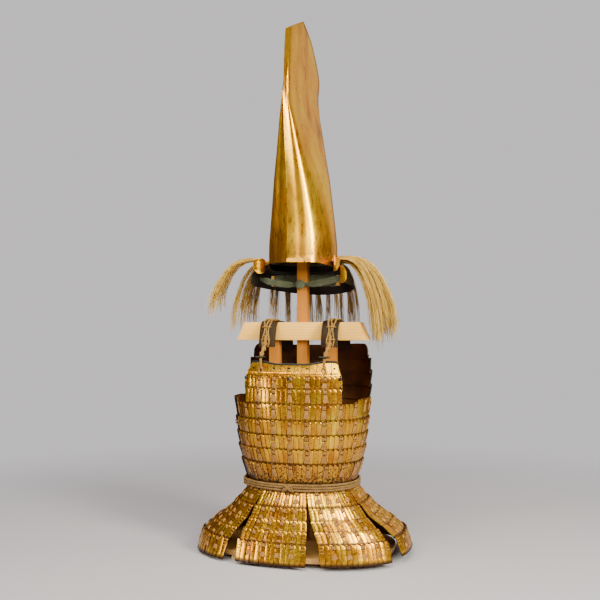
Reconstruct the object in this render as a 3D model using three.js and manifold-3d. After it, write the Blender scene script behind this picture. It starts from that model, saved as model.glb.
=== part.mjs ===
// Samurai armour on its wooden stand: a tall gilt helmet with a hair-hung neck guard, a cuirass of laced
// gilt lames with shoulder straps and a waist rope, and a skirt of seven laced panels.
// Millimetres, +Z up. The armour faces -Y and the wearer's left is +X. The origin is on the floor,
// under the middle of the whole.
import * as THREE from "three";
import { mergeVertices } from "three/addons/utils/BufferGeometryUtils.js";
import Module from "manifold-3d";

const wasm = await Module();
wasm.setup();

const CLEARANCE = 0.3;
const WALL = 2;
const SCALE_WIDTH = 14;
const SCALE_RELIEF = 1.2;
const SCALE_STEP_WIDTH = 1.5;
const HEAD_NOTCH = 2;
const LAP_RISE = 5.2;
const INNER_PITCH = 22;
const FRONT_POWER = 2.3;
const BACK_POWER = 2.8;
const QUARTER = Math.PI / 2;

const armour = new THREE.Group();
const radians = THREE.MathUtils.degToRad;
const mix = THREE.MathUtils.lerp;
const smooth = THREE.MathUtils.smoothstep;

const GOLD = { color: 0xc9952f, roughness: 0.35, metalness: 0.85 };
const BLACK_LACQUER = { color: 0x17120f, roughness: 0.35, metalness: 0.1 };
const CYPRESS = { color: 0xdcae78, roughness: 0.6, metalness: 0 };
const TAN_CORD = { color: 0xb49569, roughness: 0.9, metalness: 0 };
const GREEN_CLOTH = { color: 0x4d5a48, roughness: 0.95, metalness: 0 };
const PALE_HAIR = { color: 0xb89a5e, roughness: 0.7, metalness: 0 };
const DARK_IRON = { color: 0x20222a, roughness: 0.45, metalness: 0.7 };

// Adds one named piece with its own material.
function piece(name, geometry, look, parent = armour) {
  const mesh = new THREE.Mesh(geometry, new THREE.MeshStandardMaterial(look));
  mesh.name = name;
  parent.add(mesh);
  return mesh;
}

// Closed meshes from grids of points. A grid is a list of rows, and a row is a list of [x, y, z].

function geometryOf(triangles) {
  const volume = triangles.reduce((sum, [a, b, c]) => {
    const [p, q, r] = [a, b, c].map((v) => new THREE.Vector3(...v));
    return sum + p.dot(q.cross(r));
  }, 0);
  const facing = volume < 0 ? triangles.map(([a, b, c]) => [a, c, b]) : triangles;
  const geometry = new THREE.BufferGeometry();
  geometry.setAttribute("position", new THREE.Float32BufferAttribute(facing.flat(2), 3));
  const merged = mergeVertices(geometry, 1e-4);
  merged.computeVertexNormals();
  return merged;
}

function sheetTriangles(rows, turned = false) {
  const found = [];
  for (let r = 0; r + 1 < rows.length; r++)
    for (let c = 0; c + 1 < rows[r].length; c++) {
      const [a, b] = [rows[r][c], rows[r + 1][c]];
      const [d, e] = [rows[r + 1][c + 1], rows[r][c + 1]];
      if (turned) found.push([a, d, b], [a, e, d]);
      else found.push([a, b, d], [a, d, e]);
    }
  return found;
}

// Joins two lines of points that run side by side, whatever their counts.
function zipTriangles(near, far) {
  const found = [];
  let i = 0;
  let j = 0;
  while (i + 1 < near.length || j + 1 < far.length) {
    const nearShare = (i + 1) / (near.length - 1);
    const farShare = (j + 1) / (far.length - 1);
    if (j + 1 >= far.length || (i + 1 < near.length && nearShare <= farShare)) {
      found.push([near[i], near[i + 1], far[j]]);
      i += 1;
    } else {
      found.push([near[i], far[j + 1], far[j]]);
      j += 1;
    }
  }
  return found;
}

const firstOf = (row) => row[0];
const lastOf = (row) => row[row.length - 1];

// A wall between an outer and an inner grid, closed along its four edges.
function wallGeometry(outer, inner) {
  return geometryOf([
    ...sheetTriangles(outer),
    ...sheetTriangles(inner, true),
    ...zipTriangles(firstOf(outer), firstOf(inner)),
    ...zipTriangles(lastOf(inner), lastOf(outer)),
    ...zipTriangles(inner.map(firstOf), outer.map(firstOf)),
    ...zipTriangles(outer.map(lastOf), inner.map(lastOf)),
  ]);
}

// A ring-shaped wall: each row closes on itself.
function ringWallGeometry(outer, inner) {
  return geometryOf([
    ...sheetTriangles(outer),
    ...sheetTriangles(inner, true),
    ...zipTriangles(firstOf(outer), firstOf(inner)),
    ...zipTriangles(lastOf(inner), lastOf(outer)),
  ]);
}

function manifoldOf(geometry) {
  const bare = new THREE.BufferGeometry();
  bare.setAttribute("position", geometry.getAttribute("position"));
  bare.setIndex(geometry.index);
  const merged = mergeVertices(bare, 1e-4);
  return new wasm.Manifold(
    new wasm.Mesh({
      numProp: 3,
      vertProperties: merged.attributes.position.array,
      triVerts: new Uint32Array(merged.index.array),
    }),
  );
}

function geometryFromManifold(solid) {
  const { vertProperties, triVerts } = solid.getMesh();
  const geometry = new THREE.BufferGeometry();
  geometry.setAttribute("position", new THREE.BufferAttribute(vertProperties, 3));
  geometry.setIndex(new THREE.BufferAttribute(triVerts, 1));
  geometry.computeVertexNormals();
  return geometry;
}

function moved(geometry, x, y, z) {
  return geometry.translate(x, y, z);
}

// Tapered tube along a list of points, with a few flat sides.
function tubeGeometry(points, radii, sides) {
  const curve = new THREE.CatmullRomCurve3(points.map((p) => new THREE.Vector3(...p)));
  const steps = radii.length - 1;
  const frames = curve.computeFrenetFrames(steps, false);
  const rows = radii.map((radius, i) => {
    const centre = curve.getPoint(i / steps);
    const ring = [];
    for (let k = 0; k <= sides; k++) {
      const turn = ((k % sides) / sides) * 2 * Math.PI;
      const p = centre
        .clone()
        .addScaledVector(frames.normals[i], Math.cos(turn) * radius)
        .addScaledVector(frames.binormals[i], Math.sin(turn) * radius);
      ring.push(p.toArray());
    }
    return ring;
  });
  const cap = (ring, turned) => {
    const fan = [];
    for (let k = 1; k + 1 < sides; k++)
      fan.push(turned ? [ring[0], ring[k], ring[k + 1]] : [ring[0], ring[k + 1], ring[k]]);
    return fan;
  };
  return geometryOf([...sheetTriangles(rows), ...cap(rows[0], true), ...cap(lastOf(rows), false)]);
}

// Oval sections of the body, measured on the inner face. half: half width; front, back: depths.

const BODY_SECTIONS = [
  { z: 190, half: 153, front: 125, back: 116 },
  { z: 224, half: 157, front: 127, back: 118 },
  { z: 254, half: 165, front: 134, back: 125 },
  { z: 296, half: 176, front: 143, back: 134 },
  { z: 346, half: 183, front: 148, back: 141 },
  { z: 411, half: 189, front: 150, back: 147 },
  { z: 460, half: 193, front: 146, back: 150 },
  { z: 510, half: 198, front: 138, back: 150 },
  { z: 560, half: 196, front: 124, back: 147 },
  { z: 620, half: 189, front: 107, back: 139 },
];

const SKIRT_SECTIONS = [
  { z: 214, half: 150.5, front: 121.1, back: 112.1 },
  { z: 198, half: 154, front: 125.5, back: 116.5 },
  { z: 188, half: 163, front: 134, back: 126 },
  { z: 156, half: 184, front: 151, back: 143 },
  { z: 123, half: 213, front: 164, back: 158 },
  { z: 97, half: 253, front: 177, back: 173 },
  { z: 68, half: 293, front: 192, back: 189 },
  { z: 5, half: 317, front: 210, back: 208 },
];

function sectionAt(table, z) {
  const rising = [...table].sort((one, other) => one.z - other.z);
  const above = Math.max(1, rising.findIndex((row) => row.z >= z));
  const [low, high] = z > lastOf(rising).z ? rising.slice(-2) : [rising[above - 1], rising[above]];
  const t = (z - low.z) / (high.z - low.z);
  return {
    half: mix(low.half, high.half, t),
    front: mix(low.front, high.front, t),
    back: mix(low.back, high.back, t),
  };
}

// A point on an oval. The angle is 0 at the front and a quarter turn at the wearer's left.
function ovalPoint(section, angle, out, z) {
  const [sine, cosine] = [Math.sin(angle), Math.cos(angle)];
  const depth = cosine > 0 ? section.front : section.back;
  const power = 2 / (cosine > 0 ? FRONT_POWER : BACK_POWER);
  const x = (section.half + out) * Math.sign(sine) * Math.abs(sine) ** power;
  const y = -(depth + out) * Math.sign(cosine) * Math.abs(cosine) ** power;
  return [x, y, z];
}

// Angles that cut the arc from one angle to another into the given shares of its length.
function evenAngles(section, from, to, shares) {
  const steps = 400;
  const lengths = [0];
  for (let i = 1; i <= steps; i++) {
    const a = ovalPoint(section, mix(from, to, (i - 1) / steps), 0, 0);
    const b = ovalPoint(section, mix(from, to, i / steps), 0, 0);
    lengths.push(lengths[i - 1] + Math.hypot(b[0] - a[0], b[1] - a[1]));
  }
  const whole = lengths[steps];
  return shares.map((share) => {
    const k = Math.max(1, lengths.findIndex((length) => length >= share * whole - 1e-9));
    const t = (share * whole - lengths[k - 1]) / (lengths[k] - lengths[k - 1]);
    return mix(from, to, (k - 1 + t) / steps);
  });
}

function arcLength(section, from, to) {
  let sum = 0;
  const steps = 200;
  for (let i = 1; i <= steps; i++) {
    const a = ovalPoint(section, mix(from, to, (i - 1) / steps), 0, 0);
    const b = ovalPoint(section, mix(from, to, i / steps), 0, 0);
    sum += Math.hypot(b[0] - a[0], b[1] - a[1]);
  }
  return sum;
}

// Columns of a laced lame: each scale starts with a low edge, steps up, and slopes to the next.
function scaleColumns(length) {
  const count = Math.round(length / SCALE_WIDTH);
  const columns = [];
  for (let k = 0; k < count; k++)
    columns.push(
      { share: k / count, lift: 0, notch: HEAD_NOTCH },
      { share: (k + SCALE_STEP_WIDTH / SCALE_WIDTH) / count, lift: SCALE_RELIEF, notch: 0 },
    );
  columns.push({ share: 1, lift: 0, notch: HEAD_NOTCH });
  return columns;
}

// One lame of the cuirass. Its head stands out over the foot of the lame above it.
function lameGeometry({ from, to, top, foot, flare = 1, lap = () => 0, scaled = true, raise = () => 0 }) {
  const middle = sectionAt(BODY_SECTIONS, (top + foot) / 2);
  const centre = (from + to) / 2;
  const spread = (angle) => centre + (angle - centre) * flare;
  const plainShares = (count) => Array.from({ length: count + 1 }, (_, i) => i / count);
  const length = arcLength(middle, from, to);
  const columns = scaled
    ? scaleColumns(length)
    : plainShares(Math.round(length / SCALE_WIDTH)).map((share) => ({ share, lift: 0, notch: 0 }));
  const line = (angles, lifts, z, out, atHead) =>
    angles.map((angle, i) => {
      const height = atHead ? z + raise(angle) - lifts[i].notch : z;
      const turned = atHead ? angle : spread(angle);
      const section = sectionAt(BODY_SECTIONS, height);
      return ovalPoint(section, turned, out + lap(angle) + lifts[i].lift, height);
    });
  const outerAngles = evenAngles(middle, from, to, columns.map((c) => c.share));
  const innerShares = plainShares(Math.max(6, Math.round(length / INNER_PITCH)));
  const innerAngles = evenAngles(middle, from, to, innerShares);
  const flat = innerAngles.map(() => ({ lift: 0, notch: 1 }));
  const outer = [
    line(outerAngles, columns, top, LAP_RISE + WALL, true),
    line(outerAngles, columns, foot, WALL, false),
  ];
  const inner = [line(innerAngles, flat, top, LAP_RISE, true), line(innerAngles, flat, foot, 0, false)];
  return wallGeometry(outer, inner);
}

// Cuirass. The heads and feet of the lames, from the chest down; a foot lies behind the next head.

const FRONT_LAMES = [
  { name: "front_lame_upper", top: 522, foot: 481, reach: 39.5, flare: 1.02 },
  { name: "front_lame_lower", top: 487, foot: 437, reach: 41, flare: 1.1 },
];
const WAIST_LAMES = [
  { name: "body_lame_1", top: 443, foot: 392 },
  { name: "body_lame_2", top: 398, foot: 350 },
  { name: "body_lame_3", top: 356, foot: 311 },
  { name: "body_lame_4", top: 317, foot: 269 },
  { name: "body_lame_5", top: 275, foot: 211 },
];
const BACK_LAMES = [
  { name: "back_lame_upper", top: 567, foot: 521, reach: 67, flare: 1.03 },
  { name: "back_lame_middle", top: 527, foot: 479, reach: 69, flare: 1.02 },
  { name: "back_lame_lower", top: 485, foot: 437, reach: 70, flare: 1.02 },
];
const OPENING_FRONT_END = radians(-97);
const OPENING_BACK_END = radians(276);
const OPENING_LAP = 8.4;
const UNDERARM_RISE = 13;

// The front end of each long lame laps over its back end, under the wearer's right arm.
function openingLap(angle) {
  return OPENING_LAP * smooth(-angle, radians(68), radians(80));
}

function underarmRise(angle) {
  const turn = Math.abs(Math.atan2(Math.sin(angle), Math.cos(angle)));
  return UNDERARM_RISE * smooth(turn, radians(56), radians(70)) * (1 - smooth(turn, radians(97), radians(105)));
}

for (const { name, top, foot, reach, flare } of FRONT_LAMES)
  piece(name, lameGeometry({ from: radians(-reach), to: radians(reach), top, foot, flare }), GOLD);

WAIST_LAMES.forEach(({ name, top, foot }, i) => {
  const raise = i === 0 ? underarmRise : () => 0;
  const ends = { from: OPENING_FRONT_END, to: OPENING_BACK_END };
  piece(name, lameGeometry({ ...ends, top, foot, lap: openingLap, raise }), GOLD);
});

for (const { name, top, foot, reach, flare } of BACK_LAMES) {
  const ends = { from: Math.PI - radians(reach), to: Math.PI + radians(reach) };
  piece(name, lameGeometry({ ...ends, top, foot, flare }), GOLD);
}

// Chest plate and shoulder-blade plate: solid plates with rounded corners and a dipped neck edge.

const CHEST_PLATE = { foot: 516, neck: 555, shoulder: 8, reach: 38, corner: 12, centre: 0 };
const BACK_PLATE = { foot: 561, neck: 604, shoulder: 5, reach: 64, corner: 22, centre: 180 };
const PLATE_WALL = 2.5;
const PLATE_RIM = 1.2;
const PLATE_STANDING = 0.6;

function plateGeometry({ foot, neck, shoulder, reach, corner, centre }) {
  const columns = 16;
  const shares = Array.from({ length: columns + 1 }, (_, i) => i / columns);
  const [from, to] = [radians(centre - reach), radians(centre + reach)];
  const middle = sectionAt(BODY_SECTIONS, (foot + neck) / 2);
  const angles = evenAngles(middle, from, to, shares);
  const half = arcLength(middle, from, to) / 2;
  const topOf = (share) => {
    const along = Math.abs(share - 0.5) * 2 * half;
    const fromEnd = half - along;
    const rounding = fromEnd < corner ? corner - Math.sqrt(corner ** 2 - (corner - fromEnd) ** 2) : 0;
    return neck + shoulder * smooth(along, 0.3 * half, 0.75 * half) - rounding;
  };
  const level = (lift, out) =>
    angles.map((angle, i) => {
      const z = mix(foot, topOf(shares[i]), lift);
      return ovalPoint(sectionAt(BODY_SECTIONS, z), angle, PLATE_STANDING + out, z);
    });
  const outer = [level(1, PLATE_WALL + PLATE_RIM), level(0.9, PLATE_WALL + PLATE_RIM), level(0.86, PLATE_WALL)];
  outer.push(level(0, PLATE_WALL));
  return wallGeometry(outer, [level(1, 0), level(0, 0)]);
}

piece("chest_plate", plateGeometry(CHEST_PLATE), GOLD);
piece("back_plate", plateGeometry(BACK_PLATE), GOLD);

// Iron studs below the chest plate.

const STUD_HEIGHT = 513;
const STUDS = [
  { name: "stud_right", angle: -40.2 },
  { name: "stud_middle", angle: -1 },
  { name: "stud_left", angle: 39.2 },
];
const STUD_RADIUS = 5.5;
const STUD_DEPTH = 6;

for (const { name, angle } of STUDS) {
  const section = sectionAt(BODY_SECTIONS, STUD_HEIGHT);
  const standing = LAP_RISE * 0.8 + WALL + SCALE_RELIEF - 0.5;
  const [x, y] = ovalPoint(section, radians(angle), standing, STUD_HEIGHT);
  const profile = [
    [0, 0],
    [STUD_RADIUS * 0.55, 0],
    [STUD_RADIUS, STUD_DEPTH * 0.45],
    [STUD_RADIUS * 0.75, STUD_DEPTH * 0.85],
    [0, STUD_DEPTH],
  ];
  const knob = new THREE.LatheGeometry(profile.map((p) => new THREE.Vector2(...p)), 10);
  const stud = piece(name, knob, DARK_IRON);
  stud.position.set(x, y, STUD_HEIGHT);
  const outward = new THREE.Vector3(Math.sin(radians(angle)) * 0.75, -1, -0.1).normalize();
  stud.quaternion.setFromUnitVectors(new THREE.Vector3(0, 1, 0), outward);
}

// Skirt: seven hanging panels of five laced rows. A lower row stands out over the row above it.

const PANEL_COUNT = 7;
const PANEL_SHIFT = -0.025;
const PANEL_TOP = 214;
const ROW_HEADS = [214, 156, 123, 97, 68];
const PANEL_HEM = 6;
const PANEL_BEND = 198;
const ROW_STEP = 2.4;
const PANEL_HALF_WIDTHS = [
  { z: 214, half: 61 },
  { z: 198, half: 64 },
  { z: 156, half: 75 },
  { z: 123, half: 83 },
  { z: 97, half: 91 },
  { z: 68, half: 98 },
  { z: 5, half: 103 },
];
const PANELS = [
  { name: "skirt_panel_front", lift: 2 },
  { name: "skirt_panel_front_left", lift: 6 },
  { name: "skirt_panel_side_left", lift: 16 },
  { name: "skirt_panel_back_left", lift: 8 },
  { name: "skirt_panel_back_right", lift: 5 },
  { name: "skirt_panel_side_right", lift: 3 },
  { name: "skirt_panel_front_right", lift: 0 },
];

function panelHalfWidth(z) {
  const above = Math.max(1, PANEL_HALF_WIDTHS.findIndex((row) => row.z <= z));
  const [high, low] = [PANEL_HALF_WIDTHS[above - 1], PANEL_HALF_WIDTHS[above]];
  return mix(low.half, high.half, (z - low.z) / (high.z - low.z));
}

// The angle at a distance along the oval from its front middle.
function angleAtDistance(section, distance) {
  const loop = arcLength(section, -Math.PI, Math.PI);
  const wrapped = distance / loop - Math.floor(distance / loop);
  return evenAngles(section, 0, 2 * Math.PI, [wrapped])[0] + 2 * Math.PI * Math.floor(distance / loop);
}

function panelGeometry(index, lift) {
  const scales = Math.round((2 * panelHalfWidth(ROW_HEADS[3])) / SCALE_WIDTH);
  const columns = scaleColumns(scales * SCALE_WIDTH);
  const flat = Array.from({ length: 5 }, (_, i) => ({ share: i / 4, lift: 0, notch: 0 }));
  const level = (z, out, set, notched) => {
    const middleSection = sectionAt(SKIRT_SECTIONS, z);
    const loop = arcLength(middleSection, -Math.PI, Math.PI);
    const centre = (index / PANEL_COUNT + PANEL_SHIFT) * loop;
    const half = panelHalfWidth(z);
    return set.map(({ share, lift: relief, notch }) => {
      const height = z - (notched ? notch : 0);
      const angle = angleAtDistance(middleSection, centre + (share * 2 - 1) * half);
      const [x, y] = ovalPoint(sectionAt(SKIRT_SECTIONS, height), angle, out + relief, 0);
      const hem = (PANEL_TOP - height) / (PANEL_TOP - PANEL_HEM);
      return [x, y, height + lift * hem ** 2];
    });
  };
  const outer = [];
  ROW_HEADS.forEach((head, i) => {
    const foot = i + 1 < ROW_HEADS.length ? ROW_HEADS[i + 1] : PANEL_HEM;
    outer.push(level(head, i ? WALL + ROW_STEP : WALL, columns, true));
    if (i === 0) outer.push(level(PANEL_BEND, WALL, columns, false));
    outer.push(level(foot, WALL, columns, i + 1 < ROW_HEADS.length));
  });
  const inner = [PANEL_TOP, PANEL_BEND, ...ROW_HEADS.slice(1), PANEL_HEM].map((z) => level(z, 0, flat, false));
  return wallGeometry(outer, inner);
}

PANELS.forEach(({ name, lift }, i) => piece(name, panelGeometry(i, lift), GOLD));

// Waist rope: three turns side by side round the foot of the cuirass, with a square knot in front.

const ROPE_RADIUS = 3.5;
const ROPE_TURNS = 3;
const ROPE_TOP = 217;
const ROPE_STANDING = WALL + SCALE_RELIEF + CLEARANCE + 2.9;

function ropeGeometry() {
  const around = 34;
  const profile = [{ out: 0, z: ROPE_TOP }];
  for (let turn = 0; turn < ROPE_TURNS; turn++) {
    const middle = ROPE_TOP - ROPE_RADIUS * (2 * turn + 1);
    profile.push(
      { out: 2 * ROPE_RADIUS - 1.4, z: middle + ROPE_RADIUS * 0.75 },
      { out: 2 * ROPE_RADIUS, z: middle },
      { out: 2 * ROPE_RADIUS - 1.4, z: middle - ROPE_RADIUS * 0.75 },
    );
  }
  profile.push({ out: 0, z: ROPE_TOP - 2 * ROPE_RADIUS * ROPE_TURNS });
  const waist = sectionAt(BODY_SECTIONS, ROPE_TOP - ROPE_RADIUS * ROPE_TURNS);
  const shares = Array.from({ length: around + 1 }, (_, i) => i / around);
  const angles = evenAngles(waist, -Math.PI, Math.PI, shares);
  angles[around] = angles[0];
  const ring = ({ out, z }) => {
    const { half, front, back } = waist;
    return angles.map((angle) => {
      const pass = OPENING_LAP * smooth(-Math.sin(angle), 0.8, 0.92);
      return ovalPoint({ half, front, back }, angle, out + ROPE_STANDING + pass, z);
    });
  };
  const rows = profile.map(ring);
  return geometryOf([...sheetTriangles(rows), ...sheetTriangles([lastOf(rows), rows[0]])]);
}

piece("waist_rope", ropeGeometry(), TAN_CORD);

const KNOT_AT = { angle: -3, z: ROPE_TOP - ROPE_RADIUS * ROPE_TURNS };
{
  const waist = sectionAt(BODY_SECTIONS, KNOT_AT.z);
  const standing = ROPE_STANDING + 2 * ROPE_RADIUS + CLEARANCE + 4;
  const [x, y] = ovalPoint(waist, radians(KNOT_AT.angle), standing, 0);
  const knot = new THREE.SphereGeometry(1, 10, 6);
  knot.scale(14, 4, 9);
  piece("waist_knot", moved(knot, x, y, KNOT_AT.z), TAN_CORD);
}

// Stand: an oval board on two battens, three square posts and a crossbar with sloped ends.

const BOARD = { half: 270, depth: 188, bottom: 12, top: 26 };
const BATTEN = { middle: 130, width: 80, length: 310 };
const POST_SIDE = 31;
const SIDE_POST_X = 87;
const CROSSBAR = { foot: 200, head: 177, bottom: 620, top: 673, depth: 60 };
const POST_TOP = 930;

function boardGeometry() {
  const outline = new THREE.Shape();
  const count = 36;
  for (let i = 0; i < count; i++) {
    const turn = (i / count) * 2 * Math.PI;
    const section = { half: BOARD.half, front: BOARD.depth, back: BOARD.depth };
    const [x, y] = ovalPoint(section, turn, 0, 0);
    if (i) outline.lineTo(x, y);
    else outline.moveTo(x, y);
  }
  return new THREE.ExtrudeGeometry(outline, { depth: BOARD.top - BOARD.bottom, bevelEnabled: false });
}

piece("stand_board", moved(boardGeometry(), 0, 0, BOARD.bottom), CYPRESS);
for (const [name, side] of [["stand_batten_right", -1], ["stand_batten_left", 1]]) {
  const height = BOARD.bottom - CLEARANCE;
  const batten = new THREE.BoxGeometry(BATTEN.width, BATTEN.length, height);
  piece(name, moved(batten, side * BATTEN.middle, 0, height / 2), CYPRESS);
}

function postGeometry(x, bottom, top) {
  const post = new THREE.BoxGeometry(POST_SIDE, POST_SIDE, top - bottom);
  return moved(post, x, 0, (bottom + top) / 2);
}

const postFoot = BOARD.top + CLEARANCE;
piece("stand_post_right", postGeometry(-SIDE_POST_X, postFoot, CROSSBAR.bottom - CLEARANCE), CYPRESS);
piece("stand_post_left", postGeometry(SIDE_POST_X, postFoot, CROSSBAR.bottom - CLEARANCE), CYPRESS);
piece("stand_post_middle", postGeometry(0, postFoot, POST_TOP), CYPRESS);

function crossbarGeometry() {
  const { foot, head, bottom, top, depth } = CROSSBAR;
  const outline = new THREE.Shape([
    new THREE.Vector2(-foot, bottom),
    new THREE.Vector2(foot, bottom),
    new THREE.Vector2(head, top),
    new THREE.Vector2(-head, top),
  ]);
  const bar = new THREE.ExtrudeGeometry(outline, { depth, bevelEnabled: false });
  bar.rotateX(QUARTER);
  moved(bar, 0, depth / 2, 0);
  const mortise = new THREE.BoxGeometry(POST_SIDE + 2 * CLEARANCE, POST_SIDE + 2 * CLEARANCE, 3 * depth);
  moved(mortise, 0, 0, (bottom + top) / 2);
  return geometryFromManifold(manifoldOf(bar).subtract(manifoldOf(mortise)));
}

piece("stand_crossbar", crossbarGeometry(), CYPRESS);

// Shoulder straps: padded leather bands from the back plate, over the crossbar, to the chest.

const STRAP = { x: 94, width: 50, thickness: 4 };
const STRAP_PATH = [
  { y: 132.6, z: 588, follow: 1 },
  { y: 129.6, z: 612, follow: 1 },
  { y: 118, z: 635, follow: 0.5 },
  { y: 92, z: 656, follow: 0.1 },
  { y: 60, z: 669, follow: 0 },
  { y: 32, z: 675.3, follow: 0 },
  { y: 0, z: 675.3, follow: 0 },
  { y: -31, z: 675.3, follow: 0 },
  { y: -46, z: 664, follow: 0 },
  { y: -56, z: 643, follow: 0 },
  { y: -62, z: 621, follow: 0 },
  { y: -66, z: 600, follow: 0 },
];

function strapGeometry(side) {
  const across = [-0.5, -0.25, 0, 0.25, 0.5];
  const tangentAt = (i) => {
    const before = STRAP_PATH[Math.max(0, i - 1)];
    const after = STRAP_PATH[Math.min(STRAP_PATH.length - 1, i + 1)];
    const length = Math.hypot(after.y - before.y, after.z - before.z);
    return { y: (after.y - before.y) / length, z: (after.z - before.z) / length };
  };
  const backAt = (x, z) => {
    const { half, back } = sectionAt(BODY_SECTIONS, Math.min(z, 620));
    return back * (1 - Math.abs(x / half) ** BACK_POWER) ** (1 / BACK_POWER);
  };
  const face = (away) =>
    STRAP_PATH.map(({ y, z, follow }, i) => {
      const along = tangentAt(i);
      const height = away * (STRAP.thickness / 2);
      return across.map((share) => {
        const x = side * (STRAP.x + share * STRAP.width);
        const bend = (backAt(x, z) - backAt(STRAP.x, z)) * follow;
        return [x, y + bend + along.z * height, z - along.y * height];
      });
    });
  return wallGeometry(face(1), face(-1));
}

piece("strap_right", strapGeometry(-1), BLACK_LACQUER);
piece("strap_left", strapGeometry(1), BLACK_LACQUER);

// Strap cords: a doubled cord from each strap's end to the chest plate, held by a toggle.

const STRAP_CORD_RADIUS = 4;
const STRAP_CORD_PATH = [
  { x: 93, y: -126.5, z: 541 },
  { x: 93.5, y: -126, z: 557 },
  { x: 94.5, y: -119, z: 574 },
  { x: 95.5, y: -100, z: 589 },
  { x: 96.5, y: -79, z: 602 },
  { x: 97.5, y: -69.6, z: 618 },
  { x: 98, y: -65.6, z: 634 },
];
const TOGGLE = { length: 30, radius: 2.5, y: -127.6, z: 573 };

for (const [word, side] of [["right", -1], ["left", 1]]) {
  const points = STRAP_CORD_PATH.map(({ x, y, z }) => [side * x, y, z]);
  const radii = Array(11).fill(STRAP_CORD_RADIUS);
  piece(`strap_cord_${word}`, tubeGeometry(points, radii, 6), TAN_CORD);
  const toggle = new THREE.CylinderGeometry(TOGGLE.radius, TOGGLE.radius, TOGGLE.length, 8);
  toggle.rotateZ(QUARTER);
  piece(`toggle_${word}`, moved(toggle, side * 94.5, TOGGLE.y, TOGGLE.z), BLACK_LACQUER);
}

// Helmet: a bowl that rises into a tall flattened cap, like the tail of a catfish.
// Each section has a front ridge, a cheek line, a widest place and a back edge.

const helmet = new THREE.Group();
helmet.rotation.z = radians(-9);
armour.add(helmet);

const BOWL_RIM = 845;
const RIM_SIDE_DROP = 14;
const HELMET_WALL = 3;
const HELMET_SECTIONS = [
  { frontZ: 845, backZ: 845, front: 121, cheek: [75, -85], wide: [105, 0], back: 121 },
  { frontZ: 858, backZ: 858, front: 118, cheek: [73, -83], wide: [102, 0], back: 118 },
  { frontZ: 903, backZ: 903, front: 117, cheek: [73, -82], wide: [101, 0], back: 118 },
  { frontZ: 952, backZ: 952, front: 115, cheek: [69, -83], wide: [95, 2], back: 118 },
  { frontZ: 1025, backZ: 1025, front: 118, cheek: [61, -88], wide: [83, 10], back: 118 },
  { frontZ: 1103, backZ: 1103, front: 125, cheek: [51, -95], wide: [69, 20], back: 118 },
  { frontZ: 1180, backZ: 1180, front: 133, cheek: [38, -101], wide: [50, 36], back: 117 },
  { frontZ: 1250, backZ: 1252, front: 139, cheek: [26, -108], wide: [33, 50], back: 117 },
  { frontZ: 1310, backZ: 1316, front: 142, cheek: [15, -113], wide: [20, 52], back: 116 },
  { frontZ: 1368, backZ: 1380, front: 141, cheek: [11, -106], wide: [13, 40], back: 119 },
  { frontZ: 1418, backZ: 1437, front: 139, cheek: [10, -98], wide: [11, 28], back: 127 },
  { frontZ: 1462, backZ: 1490, front: 136, cheek: [9, -92], wide: [9, 5], back: 103 },
  { frontZ: 1497, backZ: 1545, front: 132, cheek: [8, -92], wide: [8, -18], back: 62 },
  { frontZ: 1522, backZ: 1589, front: 128, cheek: [6, -95], wide: [6, -45], back: 2 },
];

function helmetRing(section, shrink, steps) {
  const { front, cheek, wide, back } = section;
  const halfLoop = new THREE.SplineCurve(
    [
      [0, -front],
      [cheek[0] * 0.42, mix(-front, cheek[1], 0.3)],
      cheek,
      wide,
      [wide[0] * 0.72, mix(wide[1], back, 0.66)],
      [0, back],
    ].map((p) => new THREE.Vector2(...p)),
  );
  const points = halfLoop.getPoints(steps);
  const ring = [...points, ...points.slice(0, -1).reverse().map((p) => new THREE.Vector2(-p.x, p.y))];
  return ring.map(({ x, y }) => {
    const length = Math.hypot(x, y);
    const keep = Math.max(0.12, 1 - shrink / length);
    const share = (y + front) / (front + back);
    const tilt = mix(section.frontZ, section.backZ, share);
    const drop = section.frontZ === BOWL_RIM ? RIM_SIDE_DROP * smooth(share, 0.1, 0.6) : 0;
    return [x * keep, y * keep, tilt - drop];
  });
}

const CREST_JOINT = 1025;
const HELMET_STEPS = 18;

// The iron bowl proper, open at its top, where the built-up crest carries on from it.
function bowlGeometry() {
  const sections = HELMET_SECTIONS.filter(({ frontZ }) => frontZ <= CREST_JOINT).reverse();
  const outer = sections.map((section) => helmetRing(section, 0, HELMET_STEPS));
  const inner = sections.map((section) => helmetRing(section, HELMET_WALL, HELMET_STEPS / 2));
  return ringWallGeometry(outer, inner);
}

function crestGeometry() {
  const steps = HELMET_STEPS;
  const foot = HELMET_SECTIONS.find(({ frontZ }) => frontZ === CREST_JOINT);
  const raised = { ...foot, frontZ: CREST_JOINT + CLEARANCE, backZ: CREST_JOINT + CLEARANCE };
  const sections = [raised, ...HELMET_SECTIONS.filter(({ frontZ }) => frontZ > CREST_JOINT)];
  const outer = sections.map((section) => helmetRing(section, 0, steps));
  const hollow = sections.filter(({ frontZ }) => frontZ <= 1418);
  const inner = hollow.map((section) => helmetRing(section, HELMET_WALL, steps / 2));
  const lid = (ring, z, turned) => {
    const centre = [0, mix(ring[0][1], ring[(ring.length - 1) / 2][1], 0.5), z];
    return ring
      .slice(0, -1)
      .map((p, i) => (turned ? [centre, p, ring[i + 1]] : [centre, ring[i + 1], p]));
  };
  const crown = lastOf(outer);
  const crownZ = (crown[0][2] + crown[(crown.length - 1) / 2][2]) / 2;
  return geometryOf([
    ...sheetTriangles([...outer].reverse()),
    ...sheetTriangles([...inner].reverse(), true),
    ...zipTriangles(firstOf(inner), firstOf(outer)),
    ...lid(crown, crownZ, true),
    ...lid(lastOf(inner), 1428, false),
  ]);
}

piece("helmet_bowl", bowlGeometry(), GOLD, helmet);
piece("helmet_crest", crestGeometry(), GOLD, helmet);

// Neck guard: two lames round the sides and back of the bowl, black inside, with turned-back ears.

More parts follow.
